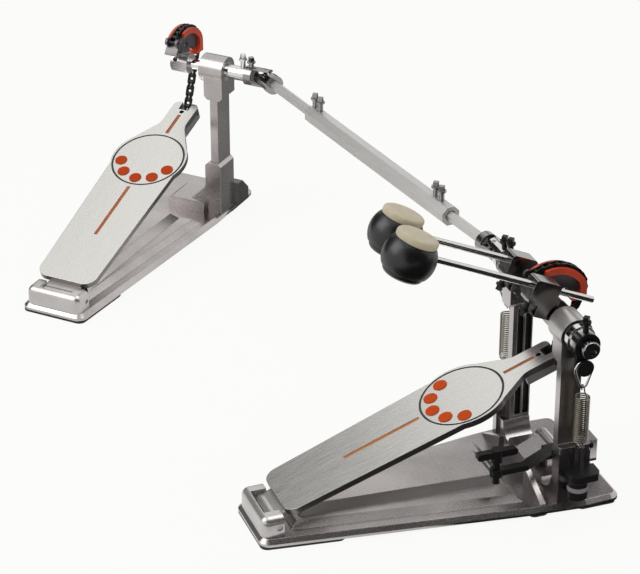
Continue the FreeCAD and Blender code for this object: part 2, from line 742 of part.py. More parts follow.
def cam_track(anchor):
    rim = cut(profile("0", "-flange_out", "flange_out"),
              profile("band_drop", "-flange_out - 1", "flange_out + 1"))
    heel = box((-50, 50), ("-4 * cam_radius", "flange_end"), (0, "2 * axle_height"))
    nose = nose_middle()
    inside = box((-50, 50), ("-4 * cam_radius", "%.4f" % nose[0]), (0, "%.4f" % nose[1]))
    far = cut(profile("-flange_rise", "-flange_out", "-flange_in"),
              profile("band_drop", "-flange_out - 1", "1 - flange_in"))
    far = cut(far, heel, inside, below("flange_low"))
    tail = cut(profile("-flange_rise", "-flange_out", "-flange_in"),
               profile("floor_drop - side_gap", "-flange_out - 1", "1 - flange_in"))
    tail = cut(tail, box((-50, 50), ("-4 * cam_radius", "far_end"), (0, "2 * axle_height")),
               box((-50, 50), ("-4 * cam_radius", "%.4f" % anchor[0]), (0, "2 * axle_height")),
               box((-50, 50), ("flange_end + 1", "4 * cam_radius"), (0, "2 * axle_height")),
               below("heel_low"),
               rod("x", "ear_radius + side_gap", ("-flange_out - 1", "1 - flange_in"), "%.4f" % anchor[0],
                   "%.4f" % anchor[1]))
    skirt = box(("-flange_out", "flange_out"),
                ("%.4f + nose_radius - band_drop" % nose[0], "%.4f + nose_radius" % nose[0]),
                ("axle_height + flange_low", "%.4f" % nose[1]))
    throat = box(("-flange_in", "flange_in"), ("0", "4 * cam_radius"), (0, "%.4f" % nose[1]))
    return fuse(cut(rim, groove(), heel, inside, below("flange_low")), far, tail, cut(skirt, throat))


def cam_hub(anchor, left, right):
    web = profile("band_drop", "-web_half", "web_half")
    holes = []
    for turn in (35, 75, 115):
        dy = s.light_circle * math.cos(math.radians(turn))
        dz = s.light_circle * math.sin(math.radians(turn))
        holes.append(rod("x", 4, ("-web_half - 1", "web_half + 1"), "%.3f" % dy, "axle_height + %.3f" % dz))
    web = cut(web, box((-50, 50), ("-4 * cam_radius", "4 * cam_radius"), (0, "axle_height - web_low")),
              *holes)
    web = cut(web, box((-50, 50), ("-4 * cam_radius", "-hub_radius"), (0, "axle_height + heel_low")))
    heel = cut(profile("floor_drop", "-flange_out", "flange_out"),
               profile("heel_drop", "-flange_out - 1", "flange_out + 1"))
    heel_end = min(s.axle_height + s.heel_low, anchor[1])
    heel = cut(heel, box((-50, 50), ("flange_end", "4 * cam_radius"), (0, "2 * axle_height")),
               box((-50, 50), ("-4 * cam_radius", "4 * cam_radius"), (0, "%.4f" % heel_end)))
    ears = [rod("x", "ear_radius", span, "%.4f" % anchor[0], "%.4f" % anchor[1])
            for span in (("-flange_out", "-flange_in"), ("flange_in", "flange_out"))]
    pin = rod("x", "anchor_radius", ("-flange_out - 1", "flange_out + 1"), "%.4f" % anchor[0],
              "%.4f" % anchor[1])
    boss = rod("x", "hub_radius", (left, right), "0", "axle_height")
    bore = rod("x", "axle_dia / 2", ("%s - 1" % left, "%s + 1" % right), "0", "axle_height")
    screw = rod("y", "screw_radius", ("-2 * hub_radius", "0"), "%s + 6" % left, "0")
    screw = placed(screw, "0", "0", "axle_height", (1, 0, 0), -33)
    return cut(fuse(web, heel, boss, *ears), pin, bore, screw)


node(cam_hub(primary_anchor, "hub_left", "hub_right"), "primary_cam_hub")
node(cam_track(primary_anchor), "primary_cam_track")
node(at_slave(cam_hub(slave_anchor, "slave_hub_left", "slave_hub_right")), "slave_cam_hub")
node(at_slave(cam_track(slave_anchor)), "slave_cam_track")

# Posts


def post_top(middle, length, face, width="neck_width", low="neck_low"):
    """Round head for the axle and the block under it, whose outer side lies at a face."""
    head = rod("x", "head_radius", ("%s - %s / 2" % (middle, length), "%s + %s / 2" % (middle, length)),
               "0", "axle_height")
    block = box(("%s - %s" % (face, width), face), ("-neck_depth / 2", "neck_depth / 2"),
                (low, "axle_height - 6"))
    return head, block


def bearing_seat(middle, length):
    return rod("x", "bearing_dia / 2",
               ("%s - %s / 2 - 1" % (middle, length), "%s + %s / 2 + 1" % (middle, length)),
               "0", "axle_height")


def recesses(inner, outer, low):
    """Two long hollows with a rib between them, cut from one side of a stem."""
    start = "-stem_back + recess_edge"
    spans = ((start, start + " + recess_wide"),
             (start + " + recess_wide + recess_rib", start + " + 2 * recess_wide + recess_rib"))
    return [box((inner, outer), y, (low, "neck_low - 6")) for y in spans]


def primary_post():
    """Upright flush on its outer side, with a curved foot on its inner side."""
    face = "post_x + head_length / 2"
    inner = "post_x + head_length / 2 - stem_thick"
    head, block = post_top("post_x", "head_length", face)
    low = lambda e: straight(e, "y") and abs(e.CenterOfMass.z - s.neck_low) < 0.01
    block = rounded(block, 5, lambda e: low(e) and e.CenterOfMass.x < s.post_x, "Part::Chamfer")
    stem = box((inner, face), ("-stem_back", "stem_front"), ("deck_z", "neck_low + 4"))
    foot = box(("%s - foot_curve" % inner, face), ("-post_half", "post_half"),
               ("deck_z", "deck_z + foot_curve"))
    curve = rod("y", "foot_curve - 2", ("-2 * post_half", "2 * post_half"), "%s - foot_curve" % inner,
                "deck_z + foot_curve")
    hollows = recesses("%s - 1" % inner, "%s + recess_deep" % inner, "recess_low")
    return cut(fuse(head, block, stem, cut(foot, curve)), bearing_seat("post_x", "head_length"), *hollows)


def slave_upright():
    """Upright whose block is flush with the head's outer end, on a narrow stem and a wider foot."""
    face = "slave_post_x + slave_head_length / 2"
    middle = "slave_post_x + slave_stem_set"
    foot_x = "slave_post_x + slave_foot_set"
    head, block = post_top("slave_post_x", "slave_head_length", face, "slave_neck_width", "slave_neck_low")
    block = rounded(block, 4,
                    lambda e: straight(e, "y") and abs(e.CenterOfMass.z - s.slave_neck_low) < 0.01,
                    "Part::Chamfer")
    stem = box((middle + " - stem_thick / 2", middle + " + stem_thick / 2"),
               ("-stem_depth / 2", "stem_depth / 2"),
               ("stem_low - 4", "slave_neck_low + 4"))
    foot = box((foot_x + " - slave_foot_width / 2", foot_x + " + slave_foot_width / 2"),
               ("-foot_block_depth / 2", "foot_block_depth / 2"), ("deck_z", "stem_low"))
    foot = rounded(foot, 4, lambda e: straight(e, "y") and abs(e.CenterOfMass.z - s.stem_low) < 0.01,
                   "Part::Chamfer")
    return cut(fuse(head, block, stem, foot), bearing_seat("slave_post_x", "slave_head_length"))


def bearing(start):
    y = "0"
    z = "axle_height"
    span = (start, "%s + bearing_width" % start)
    bore = rod("x", "axle_dia / 2 + running", ("%s - 1" % start, "%s + bearing_width + 1" % start), y, z)
    return cut(rod("x", "bearing_dia / 2", span, y, z), bore)


def bearings(middle, length):
    return [bearing("%s - %s / 2" % (middle, length)),
            bearing("%s + %s / 2 - bearing_width" % (middle, length))]


def spring_lug():
    """Lug on the outer side of a primary post, beside the spring's stirrup."""
    lug = box(("post_x + head_length / 2 - 1", "lug_end"), ("-post_half - 1", "post_half + 3"),
              ("lug_low", "lug_high"))
    lug = rounded(lug, 4, lambda e: straight(e, "z") and e.CenterOfMass.x > s.lug_end - 0.01)
    foot = box(("post_x + head_length / 2 - 1", "foot_side"), ("-post_half - 1", "post_half + 3"),
               ("deck_z", "lug_low + 1"))
    return fuse(lug, foot)


node(fuse(primary_post(), spring_lug()), "primary_right_post")
left_post = fuse(primary_post(), spring_lug())
node(place(left_post, "0", "0", "0", (0, 0, 1), 180), "primary_left_post")
node(at_slave(slave_upright()), "slave_post")

slave_rings = at_slave(group(*bearings("slave_post_x", "slave_head_length")))
node(group(*bearings("post_x", "head_length"), *bearings("-post_x", "head_length"), slave_rings),
     "axle_bearings")

# Cross foot between the primary posts, with the clamp's lugs

beam_end = "post_x + head_length / 2 - stem_thick - foot_curve"
beam = box((minus(beam_end), beam_end), ("-beam_half_y", "beam_half_y"), ("deck_z", "beam_top"))
lugs = []
for x, hole in ((("lever_left - side_gap - lug_thick", "lever_left - side_gap"), "hinge_dia / 2"),
                (("lever_right + side_gap", "lever_right + side_gap + lug_thick"),
                 "shaft_radius + running")):
    upright = box(x, ("pivot_y - pivot_radius", "pivot_y + pivot_radius"), ("beam_top - 1", "pivot_z"))
    lug = fuse(upright, rod("x", "pivot_radius", x, "pivot_y", "pivot_z"))
    lugs.append(cut(lug, rod("x", hole, ("%s - 1" % x[0], "%s + 1" % x[1]), "pivot_y", "pivot_z")))


def rib():
    """Rib on the deck that slopes down to the base's side, and the web that joins it to the beam."""
    wedge = doc.addObject("Part::Wedge", "Rib")
    spans = {"X": ("rib_start", "rib_end"), "X2": ("rib_start", "rib_start + 2"),
             "Y": ("deck_z", "deck_z + rib_high"),
             "Z": ("rib_near", "rib_far"), "Z2": ("rib_near", "rib_far")}
    for word, (low, high) in spans.items():
        bind(wedge, word + "max", high)
        bind(wedge, word + "min", low)
    web = box(("rib_start", beam_end), ("-rib_far", "-beam_half_y + 1"), ("deck_z", "deck_z + 2.5"))
    return fuse(placed(wedge, axis=(1, 0, 0), angle=90), web)


mirror_rib = doc.addObject("Part::Mirroring", "Mirror")
mirror_rib.Source = rib()
mirror_rib.Normal = V(1, 0, 0)
node(fuse(beam, *lugs, rib(), mirror_rib), "primary_cross_foot")

# Slave cross foot and toe bracket

foot_edge = "slave_post_x + slave_foot_set - slave_foot_width / 2"
slave_beam = box(("-slave_beam_left", foot_edge), ("-slave_beam_back", "beam_half_y"),
                 ("deck_z", "slave_beam_top"))
slave_beam = rounded(slave_beam, 6, lambda e: straight(e, "y") and e.CenterOfMass.z > s.slave_beam_top - 0.01
                     and e.CenterOfMass.x < 0)
corner = box((foot_edge + " - foot_curve", foot_edge), ("-beam_half_y", "beam_half_y"),
             ("slave_beam_top - 1", "slave_beam_top + foot_curve"))
curve = rod("y", "foot_curve - 1.5", ("-2 * beam_half_y", "2 * beam_half_y"), foot_edge + " - foot_curve",
            "slave_beam_top + foot_curve")
slave_beam = fuse(slave_beam, cut(corner, curve))
bracket_y = ("foot_block_depth / 2", "foot_block_depth / 2 + bracket_deep")
bracket = box(("slave_post_x - 14", "slave_post_x + bracket_side"), bracket_y, ("deck_z", "bracket_top"))
bracket = rounded(bracket, s.bracket_slope,
                  lambda e: straight(e, "x") and e.CenterOfMass.z > s.bracket_top - 0.01
                  and e.CenterOfMass.y > s.foot_block_depth / 2 + 1, "Part::Chamfer")
node(at_slave(group(slave_beam, bracket)), "slave_toe_bracket")

# Right and left axles

right_bar = fuse(rod("x", "axle_dia / 2", ("hub_left", "rocker_end"), "0", "axle_height"),
                 rod("x", "spigot_dia / 2", ("hub_left - spigot_length", "hub_left"), "0", "axle_height"),
                 rod("x", "cap_radius", ("rocker_end", "cap_end"), "0", "axle_height"))
right_bar = rounded(right_bar, 2, lambda e: abs(e.CenterOfMass.x - s.cap_end) < 0.01)
dimple = rod("x", "cap_radius - 4", ("cap_end - 2", "cap_end + 1"), "0", "axle_height")
node(cut(right_bar, dimple), "right_axle")


def fork(span_axis, turn):
    """Fork about the joint's middle at the origin, hub towards -X, its cross pin at an angle about X."""
    web = rod("x", "fork_out", ("-fork_hub", "-fork_web"))
    blank = rod("x", "fork_out", ("-fork_hub", "fork_tip"))
    slab = box(("-fork_hub", "fork_tip"), ("-fork_half", "fork_half"), (-20, 20))
    arms = doc.addObject("Part::Common", "Arms")
    arms.Base = blank
    arms.Tool = slab
    gap = box(("-fork_web", "fork_tip + 1"), (-20, 20), ("-fork_in", "fork_in"))
    bore = rod("z", span_axis, (-20, 20))
    return placed(cut(fuse(web, arms), gap, bore), axis=(1, 0, 0), angle=turn)



# Directions of the axles, the shaft and the cross pins at rest

slave_turn = Rotation(V(0, 0, 1), s.slave_yaw)
left_joint = V(s.joint_x, 0, s.axle_height)
slave_joint = V(s.slave_x, s.slave_y, 0) + slave_turn.multVec(V(s.slave_joint_x, 0, s.axle_height))
shaft_step = left_joint - slave_joint
SHAFT = shaft_step.Length
shaft_way = V(shaft_step).normalize()
shaft_turn = Rotation(V(1, 0, 0), shaft_way)
left_pin = Rotation(V(1, 0, 0), s.left_phase).multVec(V(0, 0, 1))
slave_pin = slave_turn.multVec(Rotation(V(1, 0, 0), s.slave_phase).multVec(V(0, 0, 1)))
left_shaft_pin = shaft_way.cross(left_pin).normalize()
slave_shaft_pin = shaft_way.cross(slave_pin).normalize()


def about_shaft(direction):
    """Angle of a pin about the shaft, from the shaft's own Z."""
    local = shaft_turn.inverted().multVec(direction)
    return math.degrees(math.atan2(-local.y, local.z))


def square_screw(start, length, x="0", y="0", axis="z", grow=1):
    """Key screw: round shank with a square head, from its seat outwards."""
    a = start
    b = "%s %s %s" % (start, "+" if grow > 0 else "-", length - 7)
    c = "%s %s %s" % (start, "+" if grow > 0 else "-", length)
    order = (lambda p, q: (p, q)) if grow > 0 else (lambda p, q: (q, p))
    shank = rod(axis, "screw_radius", order(a, b), x, y)
    collar = rod(axis, "screw_head", order(b, "%s %s 2" % (b, "+" if grow > 0 else "-")), x, y)
    head = prism(axis, 4, "screw_radius * 1.3", order(b, c), x, y)
    return fuse(shank, collar, head)


left_bar = rod("x", "axle_dia / 2", ("joint_x + fork_web + 1", "hub_left - 1"), "0", "axle_height")
left_bore = rod("x", "spigot_dia / 2 + running", ("hub_left - spigot_length - 2", "hub_left"), "0",
                "axle_height")
left_fork = fork("cross_radius + running", -s.left_phase)
left_fork = placed(left_fork, "joint_x", "0", "axle_height", (0, 0, 1), 180)
node(fuse(cut(left_bar, left_bore), left_fork), "left_axle")

slave_bar = rod("x", "axle_dia / 2", ("slave_hub_left", "slave_joint_x - fork_web - 1"), "0", "axle_height")
slave_sleeve = rod("x", "sleeve_radius", ("sleeve_start", "slave_joint_x - fork_hub + 1"), "0",
                   "axle_height")
slave_fork = placed(fork("cross_radius + running", s.slave_phase), "slave_joint_x", "0", "axle_height")
slave_screws = [square_screw("axle_height + sleeve_radius", 17, "slave_joint_x - fork_hub - 5"),
                square_screw("axle_height + fork_out", 12, "slave_joint_x - fork_hub + 6")]
node(at_slave(group(fuse(slave_bar, slave_sleeve, slave_fork), *slave_screws)), "slave_axle")


def cross(first, second, middle):
    """Cross with its first arm in the axle's fork and its second in the shaft's."""
    arms = fuse(rod("z", "cross_radius", ("-fork_out + 0.4", "fork_out - 0.4")),
                rod("y", "cross_radius", ("-fork_out + 0.4", "fork_out - 0.4")),
                box(("-cross_half", "cross_half"), ("-cross_half", "cross_half"),
                    ("-cross_half", "cross_half")))
    arms.Placement = Placement(middle, Rotation(second.cross(first), second, first, "ZYX"))
    return arms


node(cross(slave_pin, slave_shaft_pin, slave_joint), "slave_joint_cross")
node(cross(left_pin, left_shaft_pin, left_joint), "primary_joint_cross")


def on_shaft(obj):
    obj.Placement = Placement(slave_joint, shaft_turn)
    return obj


tube_hole = "rod_flat * 1.1547 + tube_clear"
tube = prism("x", 8, "tube_radius", ("tube_start", "tube_end"), spin=22.5)
bore = rod("x", tube_hole, ("tube_start - 1", "tube_end + 1"))
node(on_shaft(cut(tube, bore)), "drive_shaft_tube")
rods = [prism("x", 6, "rod_flat * 1.1547", ("fork_hub", "tube_start + 90")),
        prism("x", 6, "rod_flat * 1.1547", ("tube_end - 90", "%.4f - fork_hub" % SHAFT))]
node(on_shaft(group(*rods)), "drive_shaft_rods")
near_fork = placed(fork("cross_radius + cross_play", -about_shaft(slave_shaft_pin)), axis=(0, 0, 1),
                   angle=180)
far_fork = placed(fork("cross_radius + cross_play", about_shaft(left_shaft_pin)), "%.4f" % SHAFT)
node(on_shaft(group(near_fork, far_fork)), "drive_shaft_yokes")
shaft_screws = [square_screw("tube_radius * 0.9239", 17, x)
                for x in ("tube_start + 5.5", "tube_start + 18", "tube_end - 31", "tube_end - 19")]
node(on_shaft(group(*shaft_screws)), "shaft_key_screws")

# Beaters, drawn with the rod along -Y and the felt towards +Z, then tilted about the axle


def at_beater(obj):
    return place(obj, "0", "0", "axle_height", (1, 0, 0), "beater_tilt")


def beater(prefix, x, reach):
    lo = "%s - holder_width / 2" % x
    hi = "%s + holder_width / 2" % x
    hub = rod("x", "holder_hub", (lo, hi))
    arm = box((lo, hi), ("-holder_far", "-holder_near"), ("holder_low", "holder_high"))
    arm = rounded(arm, 4, lambda e: straight(e, "x"))
    web = box((lo, hi), ("-holder_far + 13", "-holder_near + 4"), (-4, "holder_high - 13"))
    axle_hole = rod("x", "axle_dia / 2", ("%s - 1" % lo, "%s + 1" % hi))
    rod_hole = rod("y", "rod_dia / 2", ("-holder_far - 1", "holder_hub + 10"), x, "rod_offset")
    node(at_beater(cut(fuse(hub, arm, web), axle_hole, rod_hole)), prefix + "_beater_holder")
    away = "-" + reach
    stick = rod("y", "rod_dia / 2", (away + " - 18", "rod_tail"), x, "rod_offset")
    node(at_beater(group(stick)), prefix + "_beater_rod")
    ball = doc.addObject("Part::Sphere", "Ball")
    bind(ball, "Radius", "head_dia / 2")
    ball = placed(ball, x, away, "head_middle")
    around = (("%s - head_dia" % x, "%s + head_dia" % x), (away + " - head_dia", away + " + head_dia"))
    ball = cut(ball, box(*around, ("head_high", "head_high + head_dia")),
               box(*around, ("head_low - head_dia", "head_low")))
    disc = rod("z", "head_disc", (0, "head_low + 1"), x, away)
    disc = rounded(disc, 6, lambda e: abs(e.CenterOfMass.z) < 0.01 and not straight(e, "z"))
    seat = rod("y", "rod_dia / 2", (away + " - 18", away + " + head_dia"), x, "rod_offset")
    node(at_beater(cut(fuse(ball, disc), seat)), prefix + "_beater_head")
    felt = rod("z", "felt_dia / 2", ("head_high", "head_high + felt_thick"), x, away)
    felt = rounded(felt, 3, lambda e: abs(e.CenterOfMass.z - s.head_high - s.felt_thick) < 0.01)
    node(at_beater(group(felt)), prefix + "_beater_felt")
    return square_screw("holder_low", 16, x, "-holder_far + 6", "z", -1)


right_holder_screw = beater("right", "beater_x", "head_d")
left_holder_screw = beater("left", "-beater_x", "left_head_d")

# Spring gear, drawn on the right and turned half round for the left


def rocker():
    collar = rod("x", "collar_radius", ("collar_start", "collar_end"), "0", "axle_height")
    drum = rod("x", "rocker_radius", ("collar_end", "rocker_end"), "0", "axle_height")
    arm = box(("collar_end", "spring_x - 4"), (-6.5, 6.5), ("axle_height - rocker_arm", "axle_height"))
    tip = rod("x", 6.5, ("collar_end", "spring_x - 4"), "0", "axle_height - rocker_arm")
    spool = rod("x", "spool_radius", ("collar_end", "spring_x + 4.5"), "0", "axle_height - rocker_arm")
    rim = rod("x", "spool_flange", ("spring_x + 2.5", "spring_x + 4.5"), "0", "axle_height - rocker_arm")
    bore = rod("x", "axle_dia / 2", ("collar_start - 1", "rocker_end + 1"), "0", "axle_height")
    return cut(fuse(collar, drum, arm, tip, spool, rim), bore)


HALF = ((0, 0, 1), 180)
node(rocker(), "right_spring_rocker")
node(place(rocker(), "0", "0", "0", *HALF), "left_spring_rocker")


def rocker_screw():
    return square_screw("axle_height + rocker_radius", s.key_bolt_high - s.rocker_radius, "rocker_end - 6")


node(group(rocker_screw(), at_beater(group(right_holder_screw))), "right_key_screws")
fork_screw = square_screw("axle_height + fork_out", 14, "joint_x + fork_hub - 5")
node(group(place(group(rocker_screw()), "0", "0", "0", *HALF), at_beater(group(left_holder_screw)),
           fork_screw), "left_key_screws")


def wire_ring():
    """Wire ring in the YZ plane, wide over the spool and narrow at the spring's hook."""
    x = s.spring_x
    high = s.ring_top - s.ring_wire - s.ring_bend
    low = s.ring_low + s.ring_wire + s.ring_tip
    lean = math.asin((s.ring_bend - s.ring_tip) / (high - low))
    out = V(0, math.cos(lean), -math.sin(lean))
    along = V(0, math.sin(lean), math.cos(lean))
    flip = V(0, -math.cos(lean), -math.sin(lean))
    back = V(0, -math.sin(lean), math.cos(lean))
    top = V(x, 0, high)
    foot = V(x, 0, low)
    side = math.degrees(lean)
    wire = Part.Face(Part.Wire(Part.makeCircle(s.ring_wire, top + out * s.ring_bend, along)))
    solids = [wire.revolve(top, V(1, 0, 0), 180 + 2 * side)]
    wire = Part.Face(Part.Wire(Part.makeCircle(s.ring_wire, foot + flip * s.ring_tip, back)))
    solids.append(wire.revolve(foot, V(1, 0, 0), 180 - 2 * side))
    for way, axis in ((out, along), (flip, back)):
        start = foot + way * s.ring_tip
        length = (top + way * s.ring_bend).distanceToPoint(start)
        solids.append(Part.makeCylinder(s.ring_wire, length, start, axis))
    return solids[0].multiFuse(solids[1:])


node(group(shaped(wire_ring(), "Ring")), "right_spring_ring")
node(place(group(shaped(wire_ring(), "Ring")), "0", "0", "0", *HALF), "left_spring_ring")


def arc_between(p, way, q):
    """Arc from p to q that leaves p along way, as an edge."""
    chord = q - p
    normal = way.cross(chord)
    if normal.Length < 1e-7 * chord.Length:
        return Part.makeLine(p, q)
    normal.normalize()
    half = way.getAngle(chord) / 2
    bulge = chord.cross(normal).normalize() * (-chord.Length / 2 * math.tan(half))
    middle = (p + q) * 0.5
    return Part.Arc(p, middle - bulge, q).toShape()


def biarc(p, a, q, b):
    """Two arcs from p along a to q along b."""
    step = q - p
    both = a + b
    k = 2 * (1 - a.dot(b))
    c = step.dot(both)
    d = (-c + math.sqrt(c * c + k * step.dot(step))) / k if k > 1e-9 else step.dot(step) / (2 * c)
    middle = (p + q) * 0.5 + (a - b) * (d / 2)
    first = arc_between(p, a, middle)
    way = first.tangentAt(first.LastParameter)
    return [first, arc_between(middle, way, q)]


def spring():
    """Return spring: hook about the stirrup's bar, coil, hook in the ring, one unbroken wire."""
    r = s.hook_radius
    x = s.spring_x
    turns = int((s.coil_high - s.coil_low) / s.coil_pitch) + 0.25
    pitch = (s.coil_high - s.coil_low) / turns
    knots = []
    for b in (60, 0, -60, -120, -180):
        a = math.radians(b)
        knots.append((V(x, r * math.cos(a), s.bar_z + r * math.sin(a)), V(0, math.sin(a), -math.cos(a))))
    count = int(turns * 4)
    slope = pitch / (2 * math.pi * s.spring_radius)
    for i in range(count + 1):
        a = math.radians(-90 + 90 * i)
        spot = V(x + s.spring_radius * math.cos(a), s.spring_radius * math.sin(a),
                 s.coil_low + pitch * i / 4)
        knots.append((spot, V(-math.sin(a), math.cos(a), slope).normalize()))
    z = s.ring_low + 2 * s.ring_wire + 0.4 + s.spring_wire - r
    for b in (0, 60, 120, 180, 240):
        a = math.radians(b)
        knots.append((V(x + r * math.cos(a), 0, z + r * math.sin(a)), V(-math.sin(a), 0, math.cos(a))))
    edges = []
    for (p, a), (q, b) in zip(knots, knots[1:]):
        edges += biarc(p, a, q, b)
    tightest = min(e.Curve.Radius for e in edges if hasattr(e.Curve, "Radius"))
    points = []
    along = []
    length = 0.0
    for e in edges:
        for t in range(6):
            u = e.FirstParameter + (e.LastParameter - e.FirstParameter) * t / 6
            points.append(e.valueAt(u))
            along.append(length + e.Length * t / 6)
        length += e.Length
    gap = 1e9
    for i in range(len(points)):
        for j in range(i + 1, len(points)):
            if along[j] - along[i] > 6 * s.spring_wire:
                gap = min(gap, points[i].distanceToPoint(points[j]))
    print("spring gap to itself %.2f mm, tightest bend %.2f mm" % (gap - 2 * s.spring_wire, tightest))
    path = Part.Wire(edges)
    profile = Part.Wire(Part.makeCircle(s.spring_wire, knots[0][0], knots[0][1]))
    pipe = Part.BRepOffsetAPI.MakePipeShell(path)
    pipe.add(profile)
    pipe.build()
    pipe.makeSolid()
    return pipe.shape()


coil = spring()
node(group(shaped(coil, "Spring")), "right_spring")
node(place(group(shaped(coil, "Spring")), "-2 * spring_x"), "left_spring")


def stirrup():
    prongs = [box(("spring_x %s prong_gap - prong_thick / 2" % sign,
                   "spring_x %s prong_gap + prong_thick / 2" % sign),
                  (-1.8, 1.8), ("bracket_high", "bar_z + bar_radius")) for sign in ("+", "-")]
    bar = rod("x", "bar_radius", ("spring_x - prong_gap", "spring_x + prong_gap"), "0", "bar_z")
    return fuse(*prongs, bar)


node(group(stirrup(), place(group(stirrup()), "0", "0", "0", *HALF)), "spring_stirrups")


def tension_knob():
    shelf = box(("foot_side", "spring_x + 9"), (-10, 22), ("bracket_low", "bracket_high"))
    shelf = rounded(shelf, 8, lambda e: straight(e, "z") and e.CenterOfMass.x > s.spring_x)
    knob = rod("z", "knob_radius", ("knob_low", "bracket_low"), "spring_x", "0")
    knob = rounded(knob, 2, lambda e: e.CenterOfMass.z < s.bracket_low - 1 and not straight(e, "z"))
    return fuse(shelf, knob)


node(group(tension_knob(), place(group(tension_knob()), "0", "0", "0", *HALF)), "spring_tension_knobs")


def lug_bolt(side):
    y = ("post_half + 3", "post_half + 5.5") if side > 0 else ("-post_half - 3.5", "-post_half - 1")
    return rod("y", "lug_high / 2 - lug_low / 2", y, "post_x / 2 + head_length / 4 + lug_end / 2",
               "lug_low / 2 + lug_high / 2")


bracket_bolt = rod("y", "screw_head", (bracket_y[1], bracket_y[1] + " + 3"), "slave_post_x - 4",
                   "deck_z + 14")
node(group(lug_bolt(1), place(group(lug_bolt(-1)), "0", "0", "0", *HALF), at_slave(group(bracket_bolt))),
     "frame_screws")

# Hoop clamp

barrel = rod("x", "pivot_radius", ("lever_left", "lever_right"), "pivot_y", "pivot_z")
arm_front = box(("lever_left", "lever_right"), ("pivot_y", "jaw_front"),
                ("pivot_z - pivot_radius", "pivot_z"))
jaw = box(("lever_left", "lever_right"), ("jaw_back", "jaw_front"), ("jaw_low", "pivot_z"))
tail = box(("lever_left", "lever_right"), ("-tail_reach", 0), ("-tail_thick", 0))
tail_turn = math.degrees(math.asin(s.tail_drop / s.tail_reach))
tail = placed(tail, "0", "pivot_y", "pivot_z + pivot_radius", (1, 0, 0), tail_turn)
shaft = rod("x", "shaft_radius", ("lever_right - 1", "arm_left + 1"), "pivot_y", "pivot_z")
knuckle = rod("x", "pivot_radius", ("arm_left", "arm_right"), "pivot_y", "pivot_z")
arm_z = ("pivot_z + arm_low", "pivot_z + arm_high")
stub = box(("arm_left", "arm_right"), ("pivot_y - 2 * pivot_radius", "pivot_y"),
           ("pivot_z", "pivot_z + arm_high"))
handle = box(("wing_x - arm_half", "wing_x + arm_half"), ("wing_y", "arm_bend + arm_half / 2"), arm_z)
boss = rod("z", "boss_radius", ("pivot_z + arm_low - 1", "pivot_z + arm_high + 1"), "wing_x", "wing_y")
arm_middle = (s.arm_left + s.arm_right) / 2
step = V(arm_middle - s.wing_x, s.pivot_y - s.pivot_radius - s.arm_bend, 0)
link = box((0, "%.4f" % step.Length), ("-arm_half", "arm_half"), (0, "arm_high - arm_low"))
link = placed(link, "wing_x", "arm_bend", "pivot_z + arm_low", (0, 0, 1),
              math.degrees(math.atan2(step.y, step.x)))
boss_hole = rod("z", "wing_shank + running", ("pivot_z - 1", "pivot_z + 20"), "wing_x", "wing_y")
pivot_hole = rod("x", "hinge_dia / 2 + running", ("lever_left - 1", "lever_left + pin_depth + 1"),
                 "pivot_y", "pivot_z")
lever = fuse(barrel, arm_front, jaw, tail, shaft, knuckle, stub, handle, boss, link)
node(cut(lever, boss_hole, pivot_hole), "hoop_clamp_lever")
jaw_pad = box(("lever_left", "lever_right"), ("jaw_back", "jaw_front"), ("jaw_low - jaw_pad", "jaw_low"))
node(group(jaw_pad), "hoop_clamp_pad")
wing = box(("wing_x - 3.6", "wing_x + 3.6"), ("wing_y - wing_half", "wing_y + wing_half"),
           ("wing_low", "wing_high"))
wing = rounded(wing, 2.5, lambda e: straight(e, "x"))
shank = rod("z", "wing_shank", ("wing_tip", "wing_high"), "wing_x", "wing_y")
neck = rod("z", "wing_shank + 2", ("wing_low - 6", "wing_high + 1"), "wing_x", "wing_y")
node(fuse(wing, shank, neck), "hoop_wing_bolt")

# Check every piece and write it out

doc.recompute()
failed = False
for item in doc.Objects:
    if "Invalid" in item.State or "Error" in item.State:
        print("bad state:", item.Name, item.Label, item.State)
        failed = True
for item in NODES:
    if item.Shape.isNull() or not item.Shape.isValid():
        print("bad shape:", item.Label)
        failed = True
        continue
    item.Shape.exportStep("parts/%s.step" % item.Label)
if failed:
    raise ValueError("a piece did not build")
print(len(NODES), "pieces written")
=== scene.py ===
import math

import bmesh
import bpy
from mathutils import Matrix, Vector, noise


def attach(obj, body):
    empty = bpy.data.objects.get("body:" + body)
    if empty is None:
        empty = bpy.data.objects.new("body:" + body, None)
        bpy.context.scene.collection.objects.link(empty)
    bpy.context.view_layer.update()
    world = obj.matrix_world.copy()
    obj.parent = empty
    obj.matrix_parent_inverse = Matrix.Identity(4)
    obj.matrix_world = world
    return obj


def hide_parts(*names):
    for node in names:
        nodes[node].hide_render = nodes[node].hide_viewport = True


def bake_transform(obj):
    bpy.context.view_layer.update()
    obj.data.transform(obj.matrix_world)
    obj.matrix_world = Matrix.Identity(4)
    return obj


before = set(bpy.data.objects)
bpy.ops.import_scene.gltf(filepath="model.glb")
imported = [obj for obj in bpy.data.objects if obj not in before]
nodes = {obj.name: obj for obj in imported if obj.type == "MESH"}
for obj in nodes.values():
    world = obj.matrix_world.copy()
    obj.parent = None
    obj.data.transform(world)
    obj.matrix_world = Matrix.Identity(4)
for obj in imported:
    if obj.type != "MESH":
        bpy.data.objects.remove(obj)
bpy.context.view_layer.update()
scene = bpy.context.scene

# Camera, as solved from the photograph

AZIMUTH = math.radians(69.64)
ELEVATION = math.radians(28.16)
CAMERA_PLACE = (1.9904, -0.9781, 1.3952)
FOCAL_PIXELS = 2534.5
IMAGE_WIDTH = 640
SENSOR_WIDTH = 36

